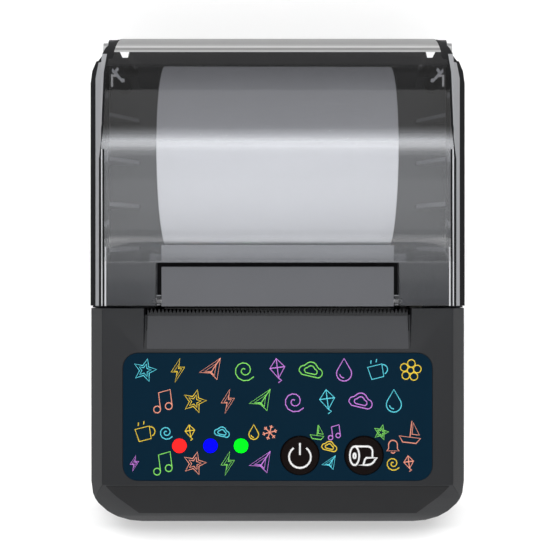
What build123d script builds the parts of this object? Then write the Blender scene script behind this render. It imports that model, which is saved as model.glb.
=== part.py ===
from build123d import *
from math import acos, atan2, cos, degrees, pi, radians, sin, sqrt, tan
import os

# Portable receipt printer, in millimetres.
# X runs across the printer, +Y points to the rear hinge, +Z points up.
# The origin is on the surface that the feet stand on, under the middle of the printer.

# Overall size
LENGTH = 125.0
WIDTH = 95.0
HEIGHT = 57.0
CORNER_RADIUS = 12.0
FRONT = -LENGTH / 2
REAR = LENGTH / 2
SIDE = WIDTH / 2

# Housing walls and clearances
WALL = 2.0
GAP = 0.3
FIT = 0.05
SLIP = 0.1
FOOT_HEIGHT = 1.5
FLOOR = 1.9
FLOOR_TOP = FOOT_HEIGHT + FLOOR
BASE_CHAMFER = 3.2
PARTING_Z = 26.0
RIM_Z = 33.0
INNER_SIDE = SIDE - WALL

# Deck: the fixed front half of the top
DECK_Z = 38.5
DECK_REAR = -6.5
EDGE_CHAMFER = 3.4
SLOPE_TOP_Y = FRONT + 11.6
SLOPE_RUN = 9.3
SLOPE_DROP = 7.5
NOSE_RUN = 2.3
NOSE_DROP = 2.6
DECK_UNDERSIDE = DECK_Z - WALL

# Ramp down to the paper slot, and its toothed edge
RAMP_MARGIN = 0.6
RAMP_START = -17.0
RAMP_DROP = 2.6
RAMP_RUN = 10.6
RAMP_FLOOR = 2.4
RAMP_END = -8.2
RAMP_SIDE_WALL = 1.5
DECK_OPENING_TOP = 33.9
TEAR_MARGIN = 4.25
TEAR_FRONT = -12.0
TEAR_TIP = -6.7
TEAR_ROOT = -7.9
TEAR_THICKNESS = 1.2
TEAR_TEETH = 68

# Control panel
FILM_LENGTH = 77.7
FILM_FRONT = SLOPE_TOP_Y + 1.1
FILM_REAR = RAMP_START - 0.8
FILM_RADIUS = 3.7
FILM_THICKNESS = 0.3
LENS_RADIUS = 1.8
LENS_Y = FILM_FRONT + 8.7
LENS_X = {"red": -24.7, "blue": -16.9, "green": -9.2}
LENS_LENGTH = 5.0
BUTTON_RADIUS = 4.87
BUTTON_Y = FILM_FRONT + 6.3
BUTTON_X = {"power": 5.6, "feed": 21.7}
BUTTON_PROUD = 0.4
BUTTON_GAP = 0.15
BUTTON_EDGE = 0.3
BUTTON_FLANGE = 1.3
BUTTON_FLANGE_THICKNESS = 0.7
BUTTON_TRAVEL = 0.5

# Boards and battery
BOARD_THICKNESS = 1.6
BOARD_Z = 29.5
BOARD_FRONT = FRONT + 8.5
BOARD_REAR = -20.0
BOARD_POST_INSET = 2.5
BOARD_POST_Y = (BOARD_FRONT + 3.0, BOARD_REAR - 3.0)
BOARD_POST_RADIUS = 2.4
SWITCH_SIZE = 6.0
SWITCH_HEIGHT = 3.5
SWITCH_STEM_RADIUS = 1.7
BATTERY_SIDE_ROOM = 16.5
BATTERY_FRONT = BOARD_FRONT
BATTERY_REAR = BOARD_REAR - 2.0
BATTERY_HEIGHT = 19.0
BATTERY_ROUND = 6.0

# Clear cover
COVER_WALL = 2.0
COVER_FRONT = -5.9
COVER_BOTTOM = RIM_Z + GAP
COVER_FLAT_Z = 39.3
CREST_Y = 32.0
FRONT_ARC_RADIUS = 29.0
DOME_SIDE = SIDE - EDGE_CHAMFER
DOME_DRAFT = 10.0

# Hinge at the rear edge
HINGE_Y = REAR - 2.9
HINGE_Z = 33.0
HINGE_PIN_RADIUS = 1.25
BEAD_RADIUS = 2.9
BEAD_INSET = 10.7
EAR_INSET = 7.2
EAR_WIDTH = 2.8
EAR_RADIUS = 2.6
EAR_CLEARANCE = 0.9
EAR_ROOT = 4.5
EAR_ROOT_Z = 24.0
EAR_FOOT_Z = 18.0
PIN_HEAD_RADIUS = 1.9
PIN_HEAD = 1.4
PIN_REACH = 4.0
RELIEF_INSET = 8.75
RELIEF_WIDTH = 2.5
RELIEF_BOTTOM = 12.0
REAR_RIM_Z = 29.8
REAR_RIM_Y = REAR - 6.1

# Paper roll
ROLL_WIDTH = 57.5
ROLL_HEADROOM = 3.2
ROLL_FRONT_ROOM = 1.1
ROLL_REAR_ROOM = 4.9
ROLL_SEAT = 0.2
CORE_RADIUS = 6.0
CORE_WALL = 1.3

# Paper tray
TRAY_WALL = 1.4
TRAY_LIFT = 0.2
TRAY_MARGIN = 0.4
SHELF_Z = 20.0
SHELF_FRONT = 4.0
SHELF_REAR = REAR - 9.7
WELL_MARGIN = 1.25
WELL_ROOM = 1.9
WELL_REAR_TOP = 27.0
GUSSET_INSET = 10.5
GUSSET_THICKNESS = 1.0
GUSSET_DROP = 0.2
GUSSET_Y = (8.6, 20.4, 32.1, 43.5)
GUARD_INSET = 10.5
GUARD_TOP_Y = HINGE_Y
GUARD_TOP_Z = 29.4
GUARD_TOP_WALL = 1.4
GUARD_WINDOW_X = 21.45
GUARD_WINDOW_WIDTH = 5.5
TRAY_POST_RADIUS = 2.4
TRAY_POST_Y = (SHELF_FRONT + 2.4, REAR - 9.1)
TRAY_POST_GAP = 3.3
TRAY_POST_INSET = 6.2
TRAY_TAB_REAR = REAR - 6.6

# Print mechanism
PLATEN_Y = -1.2
PLATEN_Z = 29.5
PLATEN_RADIUS = 5.0
PLATEN_MARGIN = 0.05
PLATEN_SHAFT_RADIUS = 2.0
SHAFT_END = 1.5
BUSH_RADIUS = 3.5
PLATE_THICKNESS = 1.5
PLATE_GAP = 0.5
PLATE_TOP = 33.0
CHASSIS_FRONT = -15.7
CHASSIS_REAR = 3.5
CHASSIS_Z = FLOOR_TOP + GAP
CHASSIS_LUG_Y = -12.5
CHASSIS_LUG_REACH = 3.0
CHASSIS_FOOT_REACH = 5.8
MECHANISM_ROOM = 1.4
CHASSIS_LUG_RADIUS = 2.6
CHASSIS_FOOT_REAR = -9.4
HEAD_FACE_Y = -6.5
HEAD_MARGIN = 0.25
HEAD_BOTTOM = 22.3
HEAD_TOP = 33.3
HEAD_BOARD = 0.8
HEAD_SINK = 1.6
HEAD_PIVOT_Y = -8.1
HEAD_PIVOT_Z = 23.3
HEAD_PIN_RADIUS = 0.8
SPRING_X = (-18.0, 10.0)
SPRING_WIDTH = 8.0
SPRING_Z = 27.0
SPRING_REACH = 3.5
SPRING_CROWN = 1.2
SPRING_LEAF = 0.5

# Gear train from the motor to the platen
MODULE = 0.5
PLATEN_TEETH = 22
IDLER_TEETH = 18
PINION_TEETH = 12
GEAR_GAP = 1.2
GEAR_WIDTH = 3.0
BACKLASH = 0.12
ADDENDUM = 0.8
DEDENDUM = 1.15
PRESSURE_ANGLE = 20.0
IDLER_PIN_RADIUS = 1.0
MOTOR_SHAFT_RADIUS = 0.75
MOTOR_RADIUS = 7.5
MOTOR_LENGTH = 15.5
MOTOR_SHAFT_REACH = 6.0
MOTOR_EAR = 0.8
MOTOR_OFFSET_Y = -5.0
MOTOR_BORE_RADIUS = 2.2
PIN_END = 0.6

# Release lever in the cover's flat front
LEVER_MARGIN = 0.35
LEVER_GROOVE = 1.3
LEVER_FRONT = -6.0
LEVER_REAR = 3.9
LEVER_THICKNESS = 2.0
LEVER_PIVOT_Y = -4.7
LEVER_PIVOT_Z = 37.8
LEVER_PIN_RADIUS = 0.6
LEVER_EYE = 0.5
LEVER_SPRING_HALF = 6.0
WINDOW_REAR = 5.0
LUG_REAR = -3.5
LUG_BOTTOM = 36.5
LUG_WIDTH = 1.3

# Platen bracket under the cover
BRACKET_PLATE_Z = 35.0
BRACKET_PLATE = 1.2
BRACKET_WING_Z = 35.8
BRACKET_WING_INSET = 4.5
WING_GAP = 0.4
BRACKET_WING_REAR = 5.1
BRACKET_FRONT = -5.8
BRACKET_REAR = 7.9
CHEEK_MARGIN = 0.55
CHEEK_THICKNESS = 1.7
CHEEK_RADIUS = 4.6

# Fasteners, feet and the charging port
SCREW_RADIUS = 1.1
SCREW_HEAD_RADIUS = 2.2
SCREW_HEAD = 1.4
SCREW_SIDES = 10
SMALL_SIDES = 16       # flat sides of small bars, and of the holes round them
ROUND_SIDES = 24       # flat sides of pins, shafts, bushes and buttons, and of their bores
ROLL_SIDES = 72        # flat sides of the paper roll
CORNER_STEPS = 6       # flats in each rounded corner of the case
CASE_SCREW_LENGTH = 16.0
CASE_SCREW_SINK = 2.4
BOARD_SCREW_LENGTH = 6.0
TRAY_SCREW_LENGTH = 10.0
CHASSIS_SCREW_REACH = 0.9
CASE_SCREW_INSET = 9.0
CASE_SCREW_Y = (FRONT + 10.0, CHASSIS_FRONT - 4.8)
CASE_POST_TOPS = (33.5, DECK_UNDERSIDE + 0.5)
CASE_POST_RADIUS = 3.2
CASE_POST_SPLIT = 14.0
FOOT_RADIUS = 4.0
FOOT_SINK = 0.7
SINK = 0.5
RIB = 1.2
RIB_HALF = 10.0
RIB_HEIGHT = 8.6
FOOT_INSET = 9.5
FOOT_Y = (FRONT + 21.5, REAR - 15.5)
PORT_X = -20.0
PORT_WIDTH = 9.0
PORT_HEIGHT = 3.2
PORT_Z = 9.0
PORT_DEPTH = 7.3
PORT_CORNER = 1.1
PORT_SHELL = 0.3
PORT_BOARD_HALF = 8.0
PORT_BOARD_DEPTH = 10.3
PORT_BOSS_X = 6.0
PORT_BOSS_RADIUS = 1.8

# The idler sits straight under the platen, and the motor lies down and forward of the idler.
PLATEN_PITCH = MODULE * PLATEN_TEETH / 2
IDLER_PITCH = MODULE * IDLER_TEETH / 2
PINION_PITCH = MODULE * PINION_TEETH / 2
IDLER_Y = PLATEN_Y
IDLER_Z = PLATEN_Z - PLATEN_PITCH - IDLER_PITCH
MOTOR_DISTANCE = IDLER_PITCH + PINION_PITCH
MOTOR_Y = IDLER_Y + MOTOR_OFFSET_Y
MOTOR_Z = IDLER_Z - sqrt(MOTOR_DISTANCE**2 - MOTOR_OFFSET_Y**2)

# The cover's rear arc falls from the crest to the cover's bottom edge at the rear.
REAR_DROP = HEIGHT - COVER_BOTTOM
REAR_ARC_RADIUS = ((REAR - CREST_Y) ** 2 + REAR_DROP**2) / (2 * REAR_DROP)

# Inside the rear wall, where the port's board and socket end
PORT_INNER_Y = REAR - WALL - SLIP

# Panel film and battery, each between its front and rear edge
BATTERY_DEPTH = BATTERY_REAR - BATTERY_FRONT
BATTERY_Y = (BATTERY_REAR + BATTERY_FRONT) / 2

# Places counted from the side of the case
BEAD_HALF = SIDE - BEAD_INSET
EAR_INNER = SIDE - EAR_INSET
RELIEF_X = SIDE - RELIEF_INSET
GUSSET_INNER = SIDE - GUSSET_INSET
GUARD_HALF = SIDE - GUARD_INSET
CASE_SCREW_X = SIDE - CASE_SCREW_INSET
FOOT_X = SIDE - FOOT_INSET
BRACKET_WING_HALF = SIDE - BRACKET_WING_INSET
BOARD_HALF = CASE_SCREW_X - CASE_POST_RADIUS - GAP
BOARD_POST_X = BOARD_HALF - BOARD_POST_INSET
BATTERY_LENGTH = WIDTH - 2 * BATTERY_SIDE_ROOM

# The roll is the largest that the bay takes, by its height or by its depth.
WELL_BOTTOM = FLOOR_TOP + TRAY_LIFT + TRAY_WALL
ROLL_BOTTOM = WELL_BOTTOM + ROLL_SEAT
ROLL_BY_HEIGHT = HEIGHT - COVER_WALL - ROLL_HEADROOM - ROLL_BOTTOM
ROLL_BY_DEPTH = REAR - WALL - BRACKET_REAR - ROLL_FRONT_ROOM - ROLL_REAR_ROOM
ROLL_RADIUS = min(ROLL_BY_HEIGHT, ROLL_BY_DEPTH) / 2
ROLL_Y = BRACKET_REAR + ROLL_FRONT_ROOM + ROLL_RADIUS
ROLL_Z = ROLL_BOTTOM + ROLL_RADIUS
WELL_RADIUS = ROLL_RADIUS + WELL_ROOM
WELL_Z = WELL_BOTTOM + WELL_RADIUS

# Sideways places of the print mechanism, counted from the paper's edge
PAPER_HALF = ROLL_WIDTH / 2
PLATEN_HALF = PAPER_HALF + PLATEN_MARGIN
HEAD_HALF = PAPER_HALF + HEAD_MARGIN
LEVER_HALF = PAPER_HALF + LEVER_MARGIN
WINDOW_HALF = LEVER_HALF + LEVER_GROOVE
CHEEK_INNER = PAPER_HALF + CHEEK_MARGIN
CHEEK_OUTER = CHEEK_INNER + CHEEK_THICKNESS
WELL_HALF = PAPER_HALF + WELL_MARGIN
PLATE_INNER = CHEEK_OUTER + PLATE_GAP
PLATE_OUTER = PLATE_INNER + PLATE_THICKNESS
GEAR_X = PLATE_OUTER + GEAR_GAP
MECHANISM_HALF = GEAR_X + GEAR_WIDTH + MECHANISM_ROOM
TEAR_HALF = PAPER_HALF + TEAR_MARGIN
RAMP_HALF = TEAR_HALF + RAMP_MARGIN
CHASSIS_LUG_X = PLATE_OUTER + CHASSIS_LUG_REACH
CHASSIS_FOOT_HALF = PLATE_OUTER + CHASSIS_FOOT_REACH

os.makedirs("parts", exist_ok=True)


def save(part, label):
    part.label = label
    export_step(part, f"parts/{label}.step")


def box_between(low, high, mode=Mode.ADD):
    """Box between two corners, added to the part being built."""
    size = [b - a for a, b in zip(low, high)]
    middle = tuple((a + b) / 2 for a, b in zip(low, high))
    with Locations(middle):
        Box(*size, mode=mode)


def rod(start, radius, length, along="Z", mode=Mode.ADD, sides=ROUND_SIDES):
    """Bar with many flat sides, its corners at the radius, from a start point along +X or +Z."""
    plane = {"X": Plane(start, x_dir=(0, 1, 0), z_dir=(1, 0, 0)), "Z": Plane(start)}[along]
    with BuildSketch(plane) as outline:
        RegularPolygon(radius, sides)
    extrude(outline.sketch, amount=length, mode=mode)


def bore(start, radius, length, along="Z", sides=ROUND_SIDES):
    """Hole with many flat sides, in which a bar of the radius can turn."""
    rod(start, radius / cos(pi / sides), length, along, Mode.SUBTRACT, sides)


def post(x, y, bottom, radius, length, mode=Mode.ADD):
    """Ten-sided upright bar, for posts, screws and their holes."""
    with BuildSketch(Plane.XY.offset(bottom)) as outline:
        with Locations((x, y)):
            RegularPolygon(radius, SCREW_SIDES)
    extrude(outline.sketch, amount=length, mode=mode)


def screw(x, y, head_bottom, end, head_up=True):
    """Screw with its head on top, or else at the bottom, and a shank that ends at a height."""
    post(x, y, head_bottom, SCREW_HEAD_RADIUS, SCREW_HEAD)
    if head_up:
        post(x, y, end, SCREW_RADIUS, head_bottom + SCREW_HEAD / 2 - end)
    else:
        post(x, y, head_bottom, SCREW_RADIUS, end - head_bottom)


def across(points, half_width, start=None, mode=Mode.ADD):
    """Prism across the printer from an outline of (y, z) points, from start or symmetric."""
    low = -half_width if start is None else start
    with BuildSketch(Plane.YZ.offset(low)) as outline:
        with BuildLine():
            Polyline(*points, close=True)
        make_face()
    extrude(outline.sketch, amount=half_width - low, mode=mode)


def rounded_outline(half, front, rear, radius):
    """Rectangle seen from above, with each corner rounded in short flats."""
    corners = [(half - radius, rear - radius, 0), (radius - half, rear - radius, 90),
               (radius - half, front + radius, 180), (half - radius, front + radius, 270)]
    points = []
    for x, y, start in corners:
        for step in range(CORNER_STEPS + 1):
            angle = radians(start + 90 * step / CORNER_STEPS)
            points.append((x + radius * cos(angle), y + radius * sin(angle)))
    with BuildSketch() as outline:
        with BuildLine():
            Polyline(*points, close=True)
        make_face()
    return outline.sketch


def plan_outline(inset, front, rear):
    """Rounded outline of the case seen from above, made smaller all round by the inset."""
    return rounded_outline(SIDE - inset, front, rear, CORNER_RADIUS - inset)


# Bottom housing: tub with four feet, screw posts, hinge ears and the port opening
def housing_tub(inset, bottom, top):
    with BuildPart() as tub:
        with BuildSketch(Plane.XY.offset(bottom)):
            add(plan_outline(inset, FRONT + inset, REAR - inset))
        extrude(amount=top - bottom)
        chamfer(tub.faces().sort_by(Axis.Z)[0].edges(), BASE_CHAMFER - inset * (2 - sqrt(2)))
    return tub.part


EAR_MIDDLE = EAR_INNER + EAR_WIDTH / 2
EAR_OUTER = EAR_INNER + EAR_WIDTH
CASE_SCREW_POINTS = [(side * CASE_SCREW_X, y) for side in (-1, 1) for y in CASE_SCREW_Y]
TRAY_POST_X = (WELL_HALF + TRAY_WALL + TRAY_POST_GAP, SIDE - TRAY_POST_INSET)
TRAY_POST_POINTS = [(side * x, y) for side in (-1, 1) for x, y in zip(TRAY_POST_X, TRAY_POST_Y)]
FOOT_POINTS = [(side * FOOT_X, y) for side in (-1, 1) for y in FOOT_Y]
CHASSIS_LUG_POINTS = [(side * CHASSIS_LUG_X, CHASSIS_LUG_Y) for side in (-1, 1)]

tub_outside = housing_tub(0, FOOT_HEIGHT, RIM_Z)
tub_inside = housing_tub(WALL, FLOOR_TOP, RIM_Z + 1)
with BuildPart() as bottom_housing:
    add(tub_outside)
    add(tub_inside, mode=Mode.SUBTRACT)
    box_between((-SIDE, FRONT, PARTING_Z), (SIDE, DECK_REAR + SLIP, RIM_Z), Mode.SUBTRACT)
    box_between((-SIDE, REAR_RIM_Y, REAR_RIM_Z), (SIDE, REAR, RIM_Z), Mode.SUBTRACT)
    # Relief slots beside the hinge bead, cut down into the rear wall
    for side in (-1, 1):
        box_between((side * RELIEF_X - RELIEF_WIDTH / 2, REAR - WALL - 1, RELIEF_BOTTOM),
                    (side * RELIEF_X + RELIEF_WIDTH / 2, REAR, REAR_RIM_Z), Mode.SUBTRACT)
    # Hinge ears rise from the rear wall at both corners
    for side in (-1, 1):
        with BuildSketch(Plane.YZ.offset(side * EAR_MIDDLE - EAR_WIDTH / 2)):
            with Locations((HINGE_Y, HINGE_Z)):
                RegularPolygon(EAR_RADIUS, ROUND_SIDES)
            with BuildLine():
                Polyline((HINGE_Y - EAR_RADIUS, HINGE_Z), (HINGE_Y + EAR_RADIUS, HINGE_Z),
                         (HINGE_Y + EAR_RADIUS, EAR_ROOT_Z), (HINGE_Y - EAR_RADIUS, EAR_FOOT_Z),
                         (HINGE_Y - EAR_ROOT, EAR_ROOT_Z), close=True)
            make_face()
        extrude(amount=EAR_WIDTH)
    bore((-EAR_OUTER - 1, HINGE_Y, HINGE_Z), HINGE_PIN_RADIUS + FIT, 2 * EAR_OUTER + 2, "X")
    # Posts for the case screws, the tray screws and the chassis screws
    for x, y in CASE_SCREW_POINTS:
        post(x, y, FLOOR_TOP - SINK, CASE_POST_RADIUS, CASE_POST_SPLIT - FLOOR_TOP + SINK)
        post(x, y, FOOT_HEIGHT, SCREW_HEAD_RADIUS + GAP, CASE_SCREW_SINK + SCREW_HEAD + SLIP, Mode.SUBTRACT)
        post(x, y, FOOT_HEIGHT, SCREW_RADIUS + SLIP, CASE_POST_SPLIT, Mode.SUBTRACT)
    for x, y in TRAY_POST_POINTS:
        post(x, y, FLOOR_TOP - SINK, TRAY_POST_RADIUS, SHELF_Z - TRAY_WALL - FLOOR_TOP + SINK)
        post(x, y, SHELF_Z - TRAY_SCREW_LENGTH - 1, SCREW_RADIUS + FIT, SHELF_Z, Mode.SUBTRACT)
    for x, y in CHASSIS_LUG_POINTS:
        post(x, y, FLOOR_TOP - SINK, CHASSIS_LUG_RADIUS, CHASSIS_Z - FLOOR_TOP + SINK)
        post(x, y, FLOOR_TOP - CHASSIS_SCREW_REACH - SLIP, SCREW_RADIUS + FIT, FLOOR, Mode.SUBTRACT)
    for x, y in FOOT_POINTS:
        rod((x, y, FOOT_HEIGHT), FOOT_RADIUS + SLIP, FOOT_SINK + SLIP, mode=Mode.SUBTRACT, sides=SMALL_SIDES)
    # Ribs round the battery
    for side in (-1, 1):
        middle = side * (BATTERY_LENGTH / 2 + GAP + RIB / 2)
        box_between((middle - RIB / 2, BATTERY_Y - RIB_HALF, FLOOR_TOP - SINK),
                    (middle + RIB / 2, BATTERY_Y + RIB_HALF, FLOOR_TOP + RIB_HEIGHT))
    # Port opening in the rear wall, and the two bosses under its board
    box_between((PORT_X - PORT_WIDTH / 2 - GAP, REAR - WALL - 1, PORT_Z - GAP),
                (PORT_X + PORT_WIDTH / 2 + GAP, REAR, PORT_Z + PORT_HEIGHT + GAP), Mode.SUBTRACT)
    for side in (-1, 1):
        post(PORT_X + side * PORT_BOSS_X, PORT_INNER_Y - PORT_BOARD_DEPTH / 2, FLOOR_TOP - SINK,
             PORT_BOSS_RADIUS, PORT_Z - BOARD_THICKNESS - FLOOR_TOP + SINK)
save(bottom_housing.part, "bottom_housing")

with BuildPart() as rubber_feet:
    for x, y in FOOT_POINTS:
        rod((x, y, 0), FOOT_RADIUS, FOOT_HEIGHT + FOOT_SINK, sides=SMALL_SIDES)
save(rubber_feet.part, "rubber_feet")

with BuildPart() as case_screws:
    for x, y in CASE_SCREW_POINTS:
        screw(x, y, FOOT_HEIGHT + CASE_SCREW_SINK, FOOT_HEIGHT + CASE_SCREW_SINK + CASE_SCREW_LENGTH, False)
save(case_screws.part, "case_screws")


# Front deck: shell with side chamfers, front slope, ramp to the slot and panel recess
def deck_form(inset, bottom):
    """Outer form of the front half of the top, or its hollow when inset by the wall."""
    top = DECK_Z - inset
    chamfer_size = EDGE_CHAMFER - inset * (2 - sqrt(2))
    slope = SLOPE_DROP / SLOPE_RUN
    slope_shift = inset * sqrt(1 + slope**2)
    far = 30.0
    with BuildPart() as form:
        with BuildSketch(Plane.XY.offset(bottom)):
            add(plan_outline(inset, FRONT + inset, REAR - inset))
        extrude(amount=top - bottom)
        chamfer(form.faces().sort_by(Axis.Z)[-1].edges(), chamfer_size)
        box_between((-SIDE, DECK_REAR - inset, 0), (SIDE, REAR, HEIGHT), Mode.SUBTRACT)
        across([(SLOPE_TOP_Y + far, DECK_Z - slope_shift + far * slope),
                (SLOPE_TOP_Y - far, DECK_Z - slope_shift - far * slope),
                (SLOPE_TOP_Y - far, DECK_Z + far), (SLOPE_TOP_Y + far, DECK_Z + far * 2)],
               SIDE + 1, mode=Mode.SUBTRACT)
    return form.part


def ramp_z(y):
    """Height of the ramp's surface at a distance along the printer."""
    return DECK_Z - RAMP_DROP * (y - RAMP_START) / RAMP_RUN


def film_outline(grown):
    """Outline of the panel film, or of its recess when grown by the play round it."""
    return rounded_outline(FILM_LENGTH / 2 + grown, FILM_FRONT - grown, FILM_REAR + grown, FILM_RADIUS + grown)


deck_outside = deck_form(0, PARTING_Z)
deck_inside = deck_form(WALL, PARTING_Z - 1)
with BuildPart() as front_deck:
    add(deck_outside)
    # Bevel under the front slope
    slope_foot = (SLOPE_TOP_Y - SLOPE_RUN, DECK_Z - SLOPE_DROP)
    across([slope_foot, (slope_foot[0] - NOSE_RUN * 2, slope_foot[1] - NOSE_DROP * 2),
            (slope_foot[0] - NOSE_RUN * 2, slope_foot[1] + 5)], SIDE + 1, mode=Mode.SUBTRACT)
    add(deck_inside, mode=Mode.SUBTRACT)
    # The rear wall is open round the print mechanism.
    box_between((-MECHANISM_HALF, DECK_REAR - WALL - 1, PARTING_Z - 1),
                (MECHANISM_HALF, DECK_REAR, DECK_OPENING_TOP), Mode.SUBTRACT)
    # Ramp: a sloped floor between two side walls, with a pocket for the tear bar
    across([(RAMP_START - WALL, DECK_Z), (DECK_REAR, DECK_Z), (DECK_REAR, ramp_z(DECK_REAR) - RAMP_FLOOR),
            (RAMP_START - WALL, ramp_z(RAMP_START) - RAMP_FLOOR)], RAMP_HALF + RAMP_SIDE_WALL)
    across([(RAMP_START, DECK_Z), (RAMP_START, DECK_Z + 1), (DECK_REAR, DECK_Z + 1),
            (DECK_REAR, ramp_z(DECK_REAR))], RAMP_HALF, mode=Mode.SUBTRACT)
    across([(TEAR_FRONT - SLIP, DECK_Z + 1), (DECK_REAR, DECK_Z + 1),
            (DECK_REAR, ramp_z(DECK_REAR) - TEAR_THICKNESS),
            (TEAR_FRONT - SLIP, ramp_z(TEAR_FRONT - SLIP) - TEAR_THICKNESS)],
           TEAR_HALF + SLIP, mode=Mode.SUBTRACT)
    box_between((-RAMP_HALF, RAMP_END, 30), (RAMP_HALF, DECK_REAR, DECK_Z + 1), Mode.SUBTRACT)
    # Posts down to the case screws and to the control board
    for side in (-1, 1):
        for y, top in zip(CASE_SCREW_Y, CASE_POST_TOPS):
            post(side * CASE_SCREW_X, y, CASE_POST_SPLIT + GAP, CASE_POST_RADIUS, top - CASE_POST_SPLIT - GAP)
            post(side * CASE_SCREW_X, y, CASE_POST_SPLIT, SCREW_RADIUS + FIT,
                 FOOT_HEIGHT + CASE_SCREW_SINK + CASE_SCREW_LENGTH + 1 - CASE_POST_SPLIT, Mode.SUBTRACT)
    for side in (-1, 1):
        for y in BOARD_POST_Y:
            post(side * BOARD_POST_X, y, BOARD_Z + BOARD_THICKNESS, BOARD_POST_RADIUS,
                 DECK_UNDERSIDE + SINK - BOARD_Z - BOARD_THICKNESS)
            post(side * BOARD_POST_X, y, BOARD_Z, SCREW_RADIUS + FIT, BOARD_SCREW_LENGTH - SINK, Mode.SUBTRACT)
    # Recess for the panel film, with holes for the lenses and buttons
    with BuildSketch(Plane.XY.offset(DECK_Z - FILM_THICKNESS)):
        add(film_outline(SLIP))
    extrude(amount=FILM_THICKNESS + 1, mode=Mode.SUBTRACT)
    for x in LENS_X.values():
        rod((x, LENS_Y, DECK_UNDERSIDE - 1), LENS_RADIUS + SLIP, WALL + 2, mode=Mode.SUBTRACT,
            sides=SMALL_SIDES)
    for x in BUTTON_X.values():
        rod((x, BUTTON_Y, DECK_UNDERSIDE - 1), BUTTON_RADIUS + BUTTON_GAP, WALL + 2, mode=Mode.SUBTRACT)
save(front_deck.part, "front_deck")

with BuildPart() as tear_bar:
    across([(TEAR_FRONT, ramp_z(TEAR_FRONT)), (TEAR_TIP, ramp_z(TEAR_TIP)),
            (TEAR_TIP, ramp_z(TEAR_TIP) - TEAR_THICKNESS + FIT),
            (TEAR_FRONT, ramp_z(TEAR_FRONT) - TEAR_THICKNESS + FIT)], TEAR_HALF)
    pitch = 2 * TEAR_HALF / TEAR_TEETH
    with BuildSketch(Plane.XY.offset(ramp_z(TEAR_TIP) - 3)):
        with BuildLine():
            Polyline((-pitch * 0.45, TEAR_TIP + 1), (-pitch * 0.45, TEAR_TIP), (0, TEAR_ROOT),
                     (pitch * 0.45, TEAR_TIP), (pitch * 0.45, TEAR_TIP + 1), close=True)
        make_face()
    # One groove, repeated along the bar
    groove = extrude(amount=8, mode=Mode.PRIVATE)
    with GridLocations(pitch, 0, TEAR_TEETH, 1):
        add(groove, mode=Mode.SUBTRACT)
save(tear_bar.part, "tear_bar")

# Control panel: printed film, three lenses and two push buttons
with BuildPart() as panel_film:
    with BuildSketch(Plane.XY.offset(DECK_Z - FILM_THICKNESS)):
        add(film_outline(0))
        with Locations([(x, LENS_Y) for x in LENS_X.values()]):
            RegularPolygon(LENS_RADIUS + SLIP, SMALL_SIDES, mode=Mode.SUBTRACT)
        with Locations([(x, BUTTON_Y) for x in BUTTON_X.values()]):
            RegularPolygon(BUTTON_RADIUS + BUTTON_GAP, ROUND_SIDES, mode=Mode.SUBTRACT)
    extrude(amount=FILM_THICKNESS)
save(panel_film.part, "panel_film")

for colour, x in LENS_X.items():
    with BuildPart() as lens:
        rod((x, LENS_Y, DECK_Z - LENS_LENGTH), LENS_RADIUS, LENS_LENGTH, sides=SMALL_SIDES)
    save(lens.part, f"{colour}_lens")

BUTTON_TOP = DECK_Z + BUTTON_PROUD
FLANGE_TOP = DECK_UNDERSIDE - 0.2
for use, x in BUTTON_X.items():
    with BuildPart() as button:
        rod((x, BUTTON_Y, FLANGE_TOP - 0.1), BUTTON_RADIUS, BUTTON_TOP - FLANGE_TOP + 0.1)
        chamfer(button.faces().sort_by(Axis.Z)[-1].edges(), BUTTON_EDGE)
        rod((x, BUTTON_Y, FLANGE_TOP - BUTTON_FLANGE_THICKNESS), BUTTON_RADIUS + BUTTON_FLANGE,
            BUTTON_FLANGE_THICKNESS)
    save(button.part, f"{use}_button")

# Control board, hung from the deck's posts
BOARD_TOP = BOARD_Z + BOARD_THICKNESS
BOARD_POST_POINTS = [(side * BOARD_POST_X, y) for side in (-1, 1) for y in BOARD_POST_Y]
with BuildPart() as control_board:
    box_between((-BOARD_HALF, BOARD_FRONT, BOARD_Z), (BOARD_HALF, BOARD_REAR, BOARD_TOP))
    for x, y in BOARD_POST_POINTS:
        post(x, y, BOARD_Z, SCREW_RADIUS + SLIP, BOARD_THICKNESS, Mode.SUBTRACT)
save(control_board.part, "control_board")

with BuildPart() as board_screws:
    for x, y in BOARD_POST_POINTS:
        screw(x, y, BOARD_Z - SCREW_HEAD, BOARD_Z - SCREW_HEAD + BOARD_SCREW_LENGTH, False)
save(board_screws.part, "board_screws")

with BuildPart() as tact_switches:
    for x in BUTTON_X.values():
        box_between((x - SWITCH_SIZE / 2, BUTTON_Y - SWITCH_SIZE / 2, BOARD_TOP),
                    (x + SWITCH_SIZE / 2, BUTTON_Y + SWITCH_SIZE / 2, BOARD_TOP + SWITCH_HEIGHT))
        post(x, BUTTON_Y, BOARD_TOP + SWITCH_HEIGHT, SWITCH_STEM_RADIUS,
             FLANGE_TOP - BUTTON_FLANGE_THICKNESS - BUTTON_TRAVEL - SLIP - BOARD_TOP - SWITCH_HEIGHT)
save(tact_switches.part, "tact_switches")

with BuildPart() as battery_pack:
    box_between((-BATTERY_LENGTH / 2, BATTERY_Y - BATTERY_DEPTH / 2, FLOOR_TOP),
                (BATTERY_LENGTH / 2, BATTERY_Y + BATTERY_DEPTH / 2, FLOOR_TOP + BATTERY_HEIGHT))
    chamfer(battery_pack.edges().filter_by(Axis.X), BATTERY_ROUND)
save(battery_pack.part, "battery_pack")


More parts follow.
